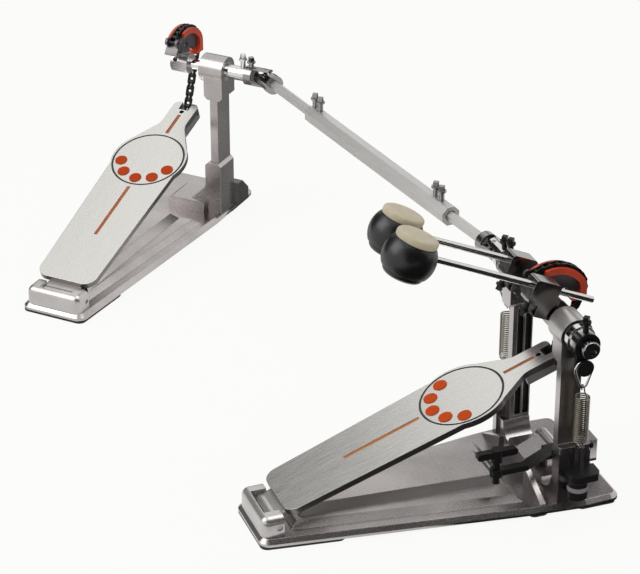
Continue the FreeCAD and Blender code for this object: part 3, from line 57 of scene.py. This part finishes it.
level = math.cos(ELEVATION)
back = Vector((math.sin(AZIMUTH) * level, -math.cos(AZIMUTH) * level, math.sin(ELEVATION)))
camera = bpy.data.objects.new("camera", bpy.data.cameras.new("camera"))
scene.collection.objects.link(camera)
camera.location = CAMERA_PLACE
camera.rotation_euler = back.to_track_quat("Z", "Y").to_euler()
camera.data.sensor_width = SENSOR_WIDTH
camera.data.lens = SENSOR_WIDTH * FOCAL_PIXELS / IMAGE_WIDTH
camera.data.clip_start = 0.05
camera.data.clip_end = 30
scene.camera = camera
scene.view_settings.view_transform = "Standard"

# Places from the CAD model, in metres and radians

AXLE = 0.196
BEATER_TILT = math.radians(-24)
HINGE = Vector((0, -0.294, 0.019))
BOARD_TILT = {"primary": math.radians(20.096), "slave": math.radians(18.616)}
BOARD_YAW = {"primary": 0, "slave": math.radians(43.3)}
SLAVE = Matrix.Translation((-0.706, -0.155, 0)) @ Matrix.Rotation(BOARD_YAW["slave"], 4, "Z")
SHAFT_WAY = Vector((0.584, 0.0777, 0))
SHAFT_YAW = math.atan2(SHAFT_WAY.y, SHAFT_WAY.x) - math.pi / 2

# Node helpers

NOISE_LOW = 0.3
NOISE_HIGH = 0.7
LEAST_ROUGH = 0.03
EDGE_SAMPLES = 4


class Shader:
    """A material with one principled shader, and short calls that add nodes to it."""

    def __init__(self, name, color, rough, metal=0.0):
        self.material = bpy.data.materials.new(name)
        self.material.use_nodes = True
        self.tree = self.material.node_tree
        self.bsdf = self.tree.nodes["Principled BSDF"]
        self.bsdf.inputs["Base Color"].default_value = (*color, 1)
        self.bsdf.inputs["Roughness"].default_value = rough
        self.bsdf.inputs["Metallic"].default_value = metal
        self.color = color
        self.rough = rough
        self.normal = None

    def set(self, **values):
        """Constant values on the shader's own sockets."""
        for key, value in values.items():
            self.bsdf.inputs[key.replace("_", " ")].default_value = value

    def add(self, kind, **values):
        """A node, with values for its settings or its sockets."""
        node = self.tree.nodes.new(kind)
        for key, value in values.items():
            if hasattr(node, key):
                setattr(node, key, value)
            else:
                node.inputs[key.replace("_", " ").title()].default_value = value
        return node

    def link(self, start, end):
        self.tree.links.new(start, end)

    def place(self, size, turn=(0, 0, 0)):
        """Object coordinates, turned to lie along a piece and measured in steps of a size in metres."""
        where = self.add("ShaderNodeTexCoord").outputs["Object"]
        mapping = self.add("ShaderNodeMapping", vector_type="TEXTURE")
        mapping.inputs["Rotation"].default_value = turn
        mapping.inputs["Scale"].default_value = size
        self.link(where, mapping.inputs["Vector"])
        return mapping.outputs["Vector"]

    def noise(self, where, detail):
        node = self.add("ShaderNodeTexNoise", detail=detail, scale=1.0)
        self.link(where, node.inputs["Vector"])
        return node.outputs["Fac"]

    def grain(self, step, detail):
        """Noise that is the same in all directions, with a step in metres."""
        return self.noise(self.place((step, step, step)), detail)

    def between(self, fac, low, high, start=NOISE_LOW, end=NOISE_HIGH):
        """A value moved from one range to another."""
        node = self.add("ShaderNodeMapRange")
        node.inputs["From Min"].default_value = start
        node.inputs["From Max"].default_value = end
        node.inputs["To Min"].default_value = low
        node.inputs["To Max"].default_value = high
        self.link(fac, node.inputs["Value"])
        return node.outputs["Result"]

    def tint(self, fac, dark, light):
        """Colour between two shares of the base colour."""
        ramp = self.add("ShaderNodeValToRGB")
        first, last = ramp.color_ramp.elements
        first.position = NOISE_LOW
        last.position = NOISE_HIGH
        first.color = (*[c * dark for c in self.color], 1)
        last.color = (*[min(c * light, 1) for c in self.color], 1)
        self.link(fac, ramp.inputs["Fac"])
        self.link(ramp.outputs["Color"], self.bsdf.inputs["Base Color"])

    def roughen(self, fac, spread):
        """Roughness a spread to either side of the base roughness."""
        value = self.between(fac, max(self.rough - spread, LEAST_ROUGH), self.rough + spread)
        self.link(value, self.bsdf.inputs["Roughness"])

    def edges(self, radius):
        """Softens the shading of sharp edges."""
        node = self.add("ShaderNodeBevel")
        node.samples = EDGE_SAMPLES
        node.inputs["Radius"].default_value = radius
        self.normal = node.outputs["Normal"]
        self.link(self.normal, self.bsdf.inputs["Normal"])

    def bump(self, height, depth, strength):
        """Relief on top of any softened edges, with its depth in metres."""
        node = self.add("ShaderNodeBump")
        node.inputs["Strength"].default_value = strength
        node.inputs["Distance"].default_value = depth
        self.link(height, node.inputs["Height"])
        if self.normal:
            self.link(self.normal, node.inputs["Normal"])
        self.normal = node.outputs["Normal"]
        self.link(self.normal, self.bsdf.inputs["Normal"])

    def peel(self):
        """Fine orange-peel of paint."""
        peel = self.grain(step=0.0012, detail=2)
        self.roughen(peel, spread=0.06)
        self.bump(peel, depth=0.00003, strength=0.4)


# Materials


def cast_metal(name, color, rough, metal):
    """Satin cast alloy: cloudy tone, fine sandy grain, softened edges."""
    m = Shader(name, color, rough, metal)
    m.edges(0.0008)
    m.tint(m.grain(step=0.05, detail=4), dark=0.86, light=1.12)
    sand = m.grain(step=0.0007, detail=2)
    m.roughen(sand, spread=0.03)
    m.bump(sand, depth=0.00001, strength=0.25)
    return m.material


def brushed_metal(name, color, rough, metal, turn, size):
    """Brushed metal: streaks along the middle axis of a turned frame."""
    m = Shader(name, color, rough, metal)
    m.edges(0.0006)
    streak = m.noise(m.place(size, turn), detail=3)
    m.tint(streak, dark=0.95, light=1.05)
    m.roughen(streak, spread=0.04)
    m.bump(streak, depth=0.00001, strength=0.6)
    return m.material


def plated_metal(name, color, rough, edge=0.0004):
    """Bright plating with faint waves and handling haze."""
    m = Shader(name, color, rough, metal=1.0)
    m.edges(edge)
    haze = m.grain(step=0.012, detail=4)
    m.tint(haze, dark=0.94, light=1.04)
    m.roughen(haze, spread=0.05)
    m.bump(m.grain(step=0.004, detail=1), depth=0.00001, strength=0.3)
    return m.material


def painted(name, color, rough, metal=0.0, coat=0.0, edge=0.0006, shine=0.5):
    """Satin paint or blacking with a fine orange-peel."""
    m = Shader(name, color, rough, metal)
    m.set(Coat_Weight=coat, Coat_Roughness=0.2, Specular_IOR_Level=shine)
    m.edges(edge)
    m.tint(m.grain(step=0.02, detail=4), dark=0.85, light=1.15)
    m.peel()
    return m.material


def rubber(name, color, rough):
    """Matt rubber with a pebbled grain."""
    m = Shader(name, color, rough)
    pebble = m.grain(step=0.0009, detail=3)
    m.tint(pebble, dark=0.8, light=1.2)
    m.roughen(pebble, spread=0.08)
    m.bump(pebble, depth=0.0001, strength=0.6)
    return m.material


def grip(name, color, turn):
    """Moulded grip pad with crossed ribs."""
    m = Shader(name, color, rough=0.55)
    m.set(Specular_IOR_Level=0.1)
    where = m.place(size=(0.001, 0.001, 0.001), turn=turn)
    both = m.add("ShaderNodeMath", operation="MAXIMUM")
    for index, side in enumerate((1, -1)):
        wave = m.add("ShaderNodeTexWave", wave_type="BANDS", bands_direction="DIAGONAL")
        wave.inputs["Scale"].default_value = 0.32
        flip = m.add("ShaderNodeVectorMath", operation="MULTIPLY")
        flip.inputs[1].default_value = (side, 1, 0)
        m.link(where, flip.inputs[0])
        m.link(flip.outputs["Vector"], wave.inputs["Vector"])
        m.link(wave.outputs["Fac"], both.inputs[index])
    ribs = both.outputs["Value"]
    m.tint(ribs, dark=0.86, light=1.08)
    m.bump(ribs, depth=0.0003, strength=0.6)
    return m.material


def felt_cloth(name, color):
    """Pressed felt: cloudy tone, fibres and a soft sheen."""
    m = Shader(name, color, rough=0.95)
    m.set(Sheen_Weight=0.35, Sheen_Roughness=0.5)
    m.tint(m.grain(step=0.006, detail=5), dark=0.9, light=1.06)
    m.bump(m.grain(step=0.0006, detail=5), depth=0.0003, strength=0.8)
    return m.material


def banded(name, color, band, low, high):
    """Satin black with a pale band between two heights."""
    span = 0.1
    m = Shader(name, color, rough=0.34, metal=0.2)
    m.edges(0.0006)
    where = m.add("ShaderNodeTexCoord").outputs["Object"]
    split = m.add("ShaderNodeSeparateXYZ")
    m.link(where, split.inputs[0])
    ramp = m.add("ShaderNodeValToRGB")
    ramp.color_ramp.interpolation = "CONSTANT"
    ramp.color_ramp.elements[0].color = (*color, 1)
    ramp.color_ramp.elements[1].position = low / span
    ramp.color_ramp.elements[1].color = (*band, 1)
    ramp.color_ramp.elements.new(high / span).color = (*color, 1)
    m.link(m.between(split.outputs["Z"], 0, 1, 0, span), ramp.inputs["Fac"])
    m.link(ramp.outputs["Color"], m.bsdf.inputs["Base Color"])
    m.peel()
    return m.material


def board_turn(prefix):
    """Rotation of a footboard's own axes."""
    return (BOARD_TILT[prefix], 0, BOARD_YAW[prefix])


CAST = cast_metal("cast", (0.48, 0.45, 0.445), rough=0.28, metal=1.0)
UNDER = cast_metal("board_flange", (0.42, 0.40, 0.39), rough=0.34, metal=0.7)
PALE_CAST = cast_metal("pale_cast", (0.56, 0.54, 0.525), rough=0.3, metal=0.8)
# Painted light: a paler, less metallic copy of the cast for the barrels of the primary posts' heads, so they
# render lit
LIT_POST_HEAD = cast_metal("post_head_painted_light", (0.58, 0.56, 0.54), rough=0.3, metal=0.65)
# Painted light: a less metallic copy of the cast for the base plate's upper faces that turn towards +X, so
# those faces alone render lighter
TIER_PAINTED_LIGHT = cast_metal("tier_cast_painted_light", (0.47, 0.44, 0.43), rough=0.3, metal=0.55)
WEB = cast_metal("cam_web", (0.15, 0.14, 0.145), rough=0.34, metal=0.8)
BOARD = {}
for prefix in ("primary", "slave"):
    BOARD[prefix] = brushed_metal("board_" + prefix, (0.74, 0.725, 0.695), rough=0.27, metal=1.0,
                                  turn=board_turn(prefix), size=(0.0004, 0.03, 0.0004))
TUBE = brushed_metal("tube", (0.62, 0.605, 0.59), rough=0.4, metal=0.65,
                     turn=(0, 0, SHAFT_YAW), size=(0.0006, 0.03, 0.0006))
CHROME = plated_metal("chrome", (0.70, 0.69, 0.685), rough=0.1)
DARK_CHROME = plated_metal("dark_chrome", (0.30, 0.29, 0.285), rough=0.14)
STEEL = plated_metal("steel", (0.66, 0.65, 0.64), rough=0.16)
SPRING = plated_metal("spring_steel", (0.23, 0.205, 0.165), rough=0.15, edge=0.0001)
HOLDER = plated_metal("holder", (0.29, 0.275, 0.265), rough=0.18, edge=0.0006)
BLACK = painted("black_metal", (0.011, 0.0105, 0.0105), rough=0.34, coat=0.04, shine=0.3)
KNOB = banded("knob", (0.016, 0.016, 0.017), band=(0.34, 0.33, 0.32), low=0.0317, high=0.0368)
RIM = cast_metal("board_rim", (0.20, 0.185, 0.18), rough=0.3, metal=0.9)
CHAIN = painted("chain_black", (0.02, 0.02, 0.021), rough=0.3, metal=0.6, edge=0.0002)
ORANGE = painted("cam_orange", (0.66, 0.06, 0.018), rough=0.34, coat=0.3)
HEAD = painted("head_black", (0.007, 0.0065, 0.0065), rough=0.34, coat=0.1, edge=0.0003)
# Black ink of the ring line, also used as painted shade on the walls of the toe hole
INK_AND_HOLE_SHADE = painted("ring_line_and_hole_shade", (0.018, 0.018, 0.018), rough=0.5)
# The slave's stripe colour is a darker copy of the primary's: painted shade
STRIPES = {
    "primary": painted("stripe_primary", (0.48, 0.17, 0.04), rough=0.45),
    "slave": painted("stripe_slave_painted_shade", (0.42, 0.11, 0.03), rough=0.45),
}
RUBBER = rubber("rubber", (0.02, 0.02, 0.02), rough=0.75)
# The slave's dot colour is a darker copy of the primary's: painted shade
DOTS = {
    "primary": grip("dots_primary", (0.62, 0.075, 0.008), board_turn("primary")),
    "slave": grip("dots_slave_painted_shade", (0.52, 0.058, 0.008), board_turn("slave")),
}
FELT = felt_cloth("felt", (0.63, 0.555, 0.39))

FINISH = {
    CAST: ("primary_base_plate", "slave_base_plate", "primary_left_post", "primary_right_post", "slave_post",
           "primary_cross_foot", "slave_toe_bracket"),
    PALE_CAST: ("heel_blocks", "primary_hinge_leaf", "slave_hinge_leaf"),
    WEB: ("primary_cam_hub", "slave_cam_hub"),
    TUBE: ("drive_shaft_tube", "drive_shaft_rods"),
    CHROME: ("axle_bearings", "spring_stirrups", "right_axle", "left_axle", "slave_axle",
             "right_spring_ring", "left_spring_ring"),
    DARK_CHROME: ("slave_joint_cross", "primary_joint_cross", "hinge_pins", "shaft_key_screws",
                  "drive_shaft_yokes"),
    STEEL: ("right_beater_rod", "left_beater_rod"),
    KNOB: ("spring_tension_knobs",),
    HOLDER: ("right_beater_holder", "left_beater_holder"),
    BLACK: ("right_key_screws", "left_key_screws", "frame_screws", "hoop_clamp_lever", "hoop_wing_bolt",
            "right_spring_rocker", "left_spring_rocker"),
    RUBBER: ("floor_pads", "hoop_clamp_pad"),
    ORANGE: ("primary_cam_track", "slave_cam_track"),
    HEAD: ("right_beater_head", "left_beater_head"),
    SPRING: ("right_spring", "left_spring"),
    FELT: ("right_beater_felt", "left_beater_felt"),
}


def dress(name, *materials):
    """Gives a CAD node its materials."""
    mesh = nodes[name].data
    mesh.materials.clear()
    for material in materials:
        mesh.materials.append(material)


for material, names in FINISH.items():
    for name in names:
        dress(name, material)
for prefix in ("primary", "slave"):
    for part in ("run", "low", "high", "wrap"):
        dress(prefix + "_chain_" + part, CHAIN)
    dress(prefix + "_grip_dots", DOTS[prefix])

# Footboards: brushed top, dark rim, black ring line, painted shade in the toe hole, orange stripes and a
# cast flange below

RING_ALONG = 0.2229
RING_RADIUS = 0.0445
RING_REACH = 0.003
HOLE_ALONG = 0.3113
HOLE_REACH = 0.0029
BOARD_TOP = 0.0136
RIM_TOP = BOARD_TOP - 0.0001
HOLE_TOP = BOARD_TOP - 0.0005
GROOVE_FLOOR = BOARD_TOP - 0.0006
BOARD_BOTTOM = BOARD_TOP - 0.0066
UPRIGHT = 0.5
PLAIN, EDGE, LINE_AND_HOLE_SHADE, STRIPE, FLANGE = range(5)


def board_frame(prefix):
    """Frame at a footboard's hinge, tilted with the board."""
    local = Matrix.Translation(HINGE) @ Matrix.Rotation(BOARD_TILT[prefix], 4, "X")
    return SLAVE @ local if prefix == "slave" else local


def board_slot(spot, way):
    """Material slot of a face, from its middle and direction in the board's frame."""
    if GROOVE_FLOOR < spot.z < RIM_TOP:
        on_ring = abs(math.hypot(spot.x, spot.y - RING_ALONG) - RING_RADIUS) < RING_REACH
        return LINE_AND_HOLE_SHADE if on_ring else STRIPE
    # Painted shade: the toe hole's walls get the black ink to darken them
    if math.hypot(spot.x, spot.y - HOLE_ALONG) < HOLE_REACH and spot.z < HOLE_TOP:
        return LINE_AND_HOLE_SHADE
    if abs(way.z) < UPRIGHT and BOARD_BOTTOM < spot.z < RIM_TOP:
        return EDGE
    return FLANGE if spot.z < BOARD_BOTTOM else PLAIN


for prefix in ("primary", "slave"):
    name = prefix + "_footboard"
    dress(name, BOARD[prefix], RIM, INK_AND_HOLE_SHADE, STRIPES[prefix], UNDER)
    inverse = board_frame(prefix).inverted()
    turn = inverse.to_3x3()
    for face in nodes[name].data.polygons:
        face.material_index = board_slot(inverse @ face.center, turn @ face.normal)

# Pieces of two finishes, sorted face by face

COLLAR_END = 0.0866
COLLAR_RADIUS = 0.0152
RECESS_NEAR = 0.0601
RECESS_FAR = 0.0626
RECESS_HALF = 0.0136
RECESS_TOP = 0.161
BARREL_RADIUS = 0.0195
BARREL_TURN = 0.5
TIER_LOW = 0.015
TIER_TURN = 0.3
BRACKET_START = 0.0165
SLAVE_FORK_START = 0.0885
CAP_START = 0.0965
CAP_FACE = 0.1
CAP_TURN = 0.9
CAP_HOLE = 0.0053
LEVER_ARM_START = 0.0268
HUB_RADIUS = 0.0122
WEB_HALF = 0.004


def sort_faces(name, other, pick):
    """Gives a second finish to the faces whose middle and direction a test accepts."""
    mesh = nodes[name].data
    mesh.materials.append(other)
    last = len(mesh.materials) - 1
    for face in mesh.polygons:
        if pick(face.center, face.normal):
            face.material_index = last


def at_slave(test):
    """The same test in the slave pedal's own frame."""
    inverse = SLAVE.inverted()
    turn = inverse.to_3x3()
    return lambda spot, way: test(inverse @ spot, turn @ way)


def from_axle(spot):
    """Distance from the line of the axle."""
    return math.hypot(spot.y, spot.z - AXLE)


def on_collar(spot, way):
    """On the bright collar of a spring rocker."""
    return abs(spot.x) < COLLAR_END and from_axle(spot) < COLLAR_RADIUS


def in_recess(spot, way):
    """In the dark recess of a post."""
    return RECESS_NEAR < abs(spot.x) < RECESS_FAR and abs(spot.y) < RECESS_HALF and spot.z < RECESS_TOP


def on_lit_barrel(spot, way):
    """Round the bearing barrel at the head of a post, where a paler copy of the cast is a painted highlight.
    """
    return from_axle(spot) < BARREL_RADIUS and abs(way.x) < BARREL_TURN


def on_cap(spot, way):
    """On the end face of the right axle's cap, outside its hole."""
    return way.x > CAP_TURN and from_axle(spot) > CAP_HOLE and spot.x > CAP_FACE


def on_hub(spot, way):
    """On the hub of a cam, clear of its web."""
    return from_axle(spot) < HUB_RADIUS and abs(spot.x) > WEB_HALF


for side in ("right", "left"):
    sort_faces(side + "_spring_rocker", CHROME, on_collar)
    sort_faces("primary_" + side + "_post", BLACK, in_recess)
    # Painted light: the post heads' barrels get the paler copy of the cast
    sort_faces("primary_" + side + "_post", LIT_POST_HEAD, on_lit_barrel)
# Painted light: only the +X-facing upper faces of the base get the lighter copy of the cast
sort_faces("primary_base_plate", TIER_PAINTED_LIGHT, lambda p, n: n.x > TIER_TURN and p.z > TIER_LOW)
sort_faces("slave_toe_bracket", WEB, at_slave(lambda p, n: p.y > BRACKET_START))
sort_faces("slave_axle", DARK_CHROME, at_slave(lambda p, n: p.x > SLAVE_FORK_START))
sort_faces("right_axle", DARK_CHROME, lambda p, n: p.x > CAP_START)
sort_faces("right_axle", BLACK, on_cap)
sort_faces("hoop_clamp_lever", CAST, lambda p, n: p.x < LEVER_ARM_START)
sort_faces("primary_cam_hub", PALE_CAST, on_hub)
sort_faces("slave_cam_hub", PALE_CAST, at_slave(on_hub))

# Springs: one wire from the stirrup's bar, up the coil and into the ring, with angles in degrees

SPRING_X = 0.0885
WIRE_RADIUS = 0.00072
WIRE_SIDES = 10
BAR_Z = 0.082
RING_Z = 0.1506
HOOK_RADIUS = 0.0034
HOOK_STEPS = 20
HOOK_STEP = 12
LOW_HOOK_START = 60
COIL_RADIUS = 0.0072
COIL_LOW = 0.0885
COIL_HIGH = 0.1385
COIL_TURNS = 22.25
COIL_START = -90
STEPS_PER_TURN = 28
JOIN_STEPS = 10
UP = Vector((0, 0, 1))


def hermite(p, a, q, b, count):
    """Points between two ends, leaving one along a and reaching the other along b."""
    reach = (q - p).length
    a = a.normalized() * reach
    b = b.normalized() * reach
    points = []
    for i in range(1, count):
        t = i / count
        points.append(p * (2 * t ** 3 - 3 * t ** 2 + 1) + a * (t ** 3 - 2 * t ** 2 + t)
                      + q * (3 * t ** 2 - 2 * t ** 3) + b * (t ** 3 - t ** 2))
    return points


def finish_mesh(name, bm):
    """A smooth-shaded object from a finished mesh."""
    mesh = bpy.data.meshes.new(name)
    bmesh.ops.recalc_face_normals(bm, faces=bm.faces)
    bm.to_mesh(mesh)
    bm.free()
    mesh.shade_smooth()
    piece = bpy.data.objects.new(name, mesh)
    scene.collection.objects.link(piece)
    return piece


def tube_mesh(name, points, radius, sides):
    """A round wire along points, closed at both ends."""
    bm = bmesh.new()
    way = (points[1] - points[0]).normalized()
    across = way.orthogonal().normalized()
    rings = []
    for i, point in enumerate(points):
        last = points[max(i - 1, 0)]
        following = points[min(i + 1, len(points) - 1)]
        way = (following - last).normalized()
        across = (across - way * across.dot(way)).normalized()
        other = way.cross(across)
        ring = []
        for k in range(sides):
            turn = 2 * math.pi * k / sides
            ring.append(bm.verts.new(point + (across * math.cos(turn) + other * math.sin(turn)) * radius))
        rings.append(ring)
    for one, two in zip(rings, rings[1:]):
        for k in range(sides):
            bm.faces.new((one[k], one[(k + 1) % sides], two[(k + 1) % sides], two[k]))
    bm.faces.new(list(reversed(rings[0])))
    bm.faces.new(rings[-1])
    return finish_mesh(name, bm)


def spring_line(x):
    """Points of one spring's wire: low hook, coil and high hook."""
    points = []
    for i in range(HOOK_STEPS + 1):
        a = math.radians(LOW_HOOK_START - HOOK_STEP * i)
        points.append(Vector((x, HOOK_RADIUS * math.cos(a), BAR_Z + HOOK_RADIUS * math.sin(a))))
    coil = []
    count = int(COIL_TURNS * STEPS_PER_TURN)
    for i in range(count + 1):
        a = math.radians(COIL_START) + 2 * math.pi * COIL_TURNS * i / count
        z = COIL_LOW + (COIL_HIGH - COIL_LOW) * i / count
        coil.append(Vector((x + COIL_RADIUS * math.cos(a), COIL_RADIUS * math.sin(a), z)))
    points += hermite(points[-1], UP, coil[0], coil[1] - coil[0], JOIN_STEPS)
    points += coil
    end = []
    top = RING_Z - HOOK_RADIUS
    for i in range(HOOK_STEPS + 1):
        a = math.radians(HOOK_STEP * i)
        end.append(Vector((x + HOOK_RADIUS * math.cos(a), 0, top + HOOK_RADIUS * math.sin(a))))
    points += hermite(coil[-1], coil[-1] - coil[-2], end[0], UP, JOIN_STEPS)
    return points + end


for side, x in (("right", SPRING_X), ("left", -SPRING_X)):
    piece = tube_mesh(side + "_return_spring", spring_line(x), WIRE_RADIUS, WIRE_SIDES)
    piece.data.materials.append(SPRING)
    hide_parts(side + "_spring")
    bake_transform(piece)

# Beater felts: pressed discs with a soft crown and a rolled edge

BEATER_X = 0.028
RIGHT_REACH = 0.1844
LEFT_REACH = 0.1753
FELT_RADIUS = 0.0215
FELT_LOW = 0.0375
FELT_THICK = 0.008
FELT_PRESS = 0.97
FELT_SIDES = 64
FELT_WOBBLE = 0.00022
WOBBLE_ROUND = 3
WOBBLE_UP = 4
WOBBLE_ACROSS = 7
CROWN_START = 0.9
FELT_PROFILE = ((0.0, 0.0), (0.5, 0.0), (0.93, 0.0), (0.985, 0.06), (1.0, 0.22), (1.0, 0.55), (0.985, 0.78),
                (0.94, 0.93), (0.86, 1.0), (0.65, 1.02), (0.35, 1.04), (0.0, 1.05))


def felt_disc(name, x, reach):
    """A disc turned from shares of its radius and thickness, slightly uneven, in the beater's frame."""
    bm = bmesh.new()
    rows = []
    for share, height in FELT_PROFILE:
        row = []
        for k in range(FELT_SIDES if share else 1):
            a = 2 * math.pi * k / FELT_SIDES
            spot = Vector((WOBBLE_ROUND * math.cos(a), WOBBLE_ROUND * math.sin(a),
                           WOBBLE_UP * height + WOBBLE_ACROSS * x))
            wobble = noise.noise(spot) * FELT_WOBBLE
            out = FELT_RADIUS * share + wobble * share
            lift = wobble if height > CROWN_START else 0
            z = FELT_LOW + FELT_THICK * height * FELT_PRESS + lift
            row.append(bm.verts.new((x + out * math.cos(a), -reach + out * math.sin(a), z)))
        rows.append(row)
    for one, two in zip(rows, rows[1:]):
        for k in range(FELT_SIDES):
            ends = [one[k % len(one)], one[(k + 1) % len(one)], two[(k + 1) % len(two)], two[k % len(two)]]
            bm.faces.new(list(dict.fromkeys(ends)))
    bmesh.ops.transform(bm, verts=bm.verts, space=Matrix(),
                        matrix=Matrix.Translation((0, 0, AXLE)) @ Matrix.Rotation(BEATER_TILT, 4, "X"))
    return finish_mesh(name, bm)


for side, x, reach in (("right", BEATER_X, RIGHT_REACH), ("left", -BEATER_X, LEFT_REACH)):
    piece = felt_disc(side + "_felt_face", x, reach)
    piece.modifiers.new("round", "SUBSURF").render_levels = 1
    piece.data.materials.append(FELT)
    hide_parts(side + "_beater_felt")
    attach(piece, side + "_axle_assembly")

# Floor and world: white to the camera and in reflections, plain soft light on the part

FLOOR_HALF = 6
FLOOR_GLOW = 0.92
WORLD_LIGHT = 0.35


def flat(name, corners):
    """A flat piece of the studio with four corners."""
    mesh = bpy.data.meshes.new(name)
    mesh.from_pydata(corners, [], [(0, 1, 2, 3)])
    sheet = bpy.data.objects.new(name, mesh)
    scene.collection.objects.link(sheet)
    return sheet


def ray_share(tree):
    """1 for camera, glossy and transmission rays."""
    path = tree.nodes.new("ShaderNodeLightPath")
    total = path.outputs["Is Camera Ray"]
    for name in ("Is Glossy Ray", "Is Transmission Ray"):
        add = tree.nodes.new("ShaderNodeMath")
        add.operation = "MAXIMUM"
        tree.links.new(total, add.inputs[0])
        tree.links.new(path.outputs[name], add.inputs[1])
        total = add.outputs["Value"]
    return total


floor = flat("floor", [(-FLOOR_HALF, -FLOOR_HALF, 0), (FLOOR_HALF, -FLOOR_HALF, 0),
                       (FLOOR_HALF, FLOOR_HALF, 0), (-FLOOR_HALF, FLOOR_HALF, 0)])
ground = bpy.data.materials.new("ground")
ground.use_nodes = True
tree = ground.node_tree
tree.nodes.clear()
plain = tree.nodes.new("ShaderNodeBsdfDiffuse")
plain.inputs["Color"].default_value = (0.8, 0.8, 0.79, 1)
glow = tree.nodes.new("ShaderNodeEmission")
glow.inputs["Color"].default_value = (1, 1, 0.985, 1)
share = tree.nodes.new("ShaderNodeMath")
share.operation = "MULTIPLY"
share.inputs[1].default_value = FLOOR_GLOW
mix = tree.nodes.new("ShaderNodeMixShader")
surface = tree.nodes.new("ShaderNodeOutputMaterial")
tree.links.new(ray_share(tree), share.inputs[0])
tree.links.new(share.outputs["Value"], mix.inputs["Fac"])
tree.links.new(plain.outputs["BSDF"], mix.inputs[1])
tree.links.new(glow.outputs["Emission"], mix.inputs[2])
tree.links.new(mix.outputs["Shader"], surface.inputs["Surface"])
floor.data.materials.append(ground)

world = bpy.data.worlds.new("world")
scene.world = world
world.use_nodes = True
tree = world.node_tree
soft = tree.nodes["Background"]
soft.inputs["Color"].default_value = (1, 1, 1, 1)
soft.inputs["Strength"].default_value = WORLD_LIGHT
clear = tree.nodes.new("ShaderNodeBackground")
clear.inputs["Color"].default_value = (1, 1, 0.99, 1)
mix = tree.nodes.new("ShaderNodeMixShader")
tree.links.new(ray_share(tree), mix.inputs["Fac"])
tree.links.new(soft.outputs["Background"], mix.inputs[1])
tree.links.new(clear.outputs["Background"], mix.inputs[2])
tree.links.new(mix.outputs["Shader"], tree.nodes["World Output"].inputs["Surface"])

# Lamps, and dark cards that shape the reflections in the metal

DARK_TONE = 0.005
CARD_ROUGH = 0.9
WALL_X = -2.6
CARD_LIFT = 0.0015


def flag(name, corners, tone=DARK_TONE):
    """A dark card that only reflections see, as studio flags shape bright metal."""
    card = flat(name, corners)
    shade = bpy.data.materials.new(name)
    shade.use_nodes = True
    inputs = shade.node_tree.nodes["Principled BSDF"].inputs
    inputs["Base Color"].default_value = (tone, tone, tone, 1)
    inputs["Roughness"].default_value = CARD_ROUGH
    card.data.materials.append(shade)
    card.visible_camera = False
    card.visible_diffuse = False
    card.visible_transmission = False
    card.visible_shadow = False


def facing(place, aim, size):
    """Corners of a card about a place, square to the line to an aim."""
    turn = (Vector(place) - Vector(aim)).to_track_quat("Z", "Y")
    halves = ((-1, -1), (1, -1), (1, 1), (-1, 1))
    return [Vector(place) + turn @ Vector((i * size[0] / 2, j * size[1] / 2, 0)) for i, j in halves]


def wall(y0, y1, z0, z1):
    """Corners of an upright card to the left of the part."""
    return [(WALL_X, y0, z0), (WALL_X, y1, z0), (WALL_X, y1, z1), (WALL_X, y0, z1)]


def mat(x0, x1, y0, y1):
    """Corners of a card just above the floor."""
    return [(x0, y0, CARD_LIFT), (x1, y0, CARD_LIFT), (x1, y1, CARD_LIFT), (x0, y1, CARD_LIFT)]


def lamp(name, place, aim, size, power, glossy=True):
    """A rectangular lamp turned to an aim, with its power in watts."""
    light = bpy.data.objects.new(name, bpy.data.lights.new(name, "AREA"))
    light.data.shape = "RECTANGLE"
    light.data.size = size[0]
    light.data.size_y = size[1]
    light.data.energy = power
    light.location = place
    light.rotation_euler = (Vector(place) - Vector(aim)).to_track_quat("Z", "Y").to_euler()
    light.visible_glossy = glossy
    scene.collection.objects.link(light)


flag("front_flag", facing(place=(1.9, -0.1, 1.45), aim=(-0.2, -0.05, 0.1), size=(3.4, 2.8)))
flag("floor_flag", mat(x0=0.07, x1=3.0, y0=-0.8, y1=2.2))
flag("right_flag", [(2.7, 1.0, 0.0), (2.1, 3.4, 0.0), (2.1, 3.4, 1.7), (2.7, 1.0, 1.7)])
flag("heel_flag", wall(y0=-3.0, y1=-0.4, z0=0.0, z1=2.4))
flag("left_flag", wall(y0=-2.6, y1=1.1, z0=0.06, z1=0.62))
flag("slave_flag", mat(x0=-1.1, x1=-0.5, y0=-0.11, y1=1.2), tone=0.3)
flag("drum_flag", wall(y0=1.15, y1=3.2, z0=1.3, z1=3.2))
lamp("key", place=(-0.6, -2.0, 2.0), aim=(-0.3, -0.1, 0.1), size=(1.8, 1.8), power=27)
lamp("top", place=(-0.2, 0.6, 2.4), aim=(-0.3, 0, 0.1), size=(2.0, 1.4), power=15)
lamp("fill", place=(2.4, -0.4, 1.2), aim=(0, 0, 0.1), size=(1.2, 1.2), power=4, glossy=False)
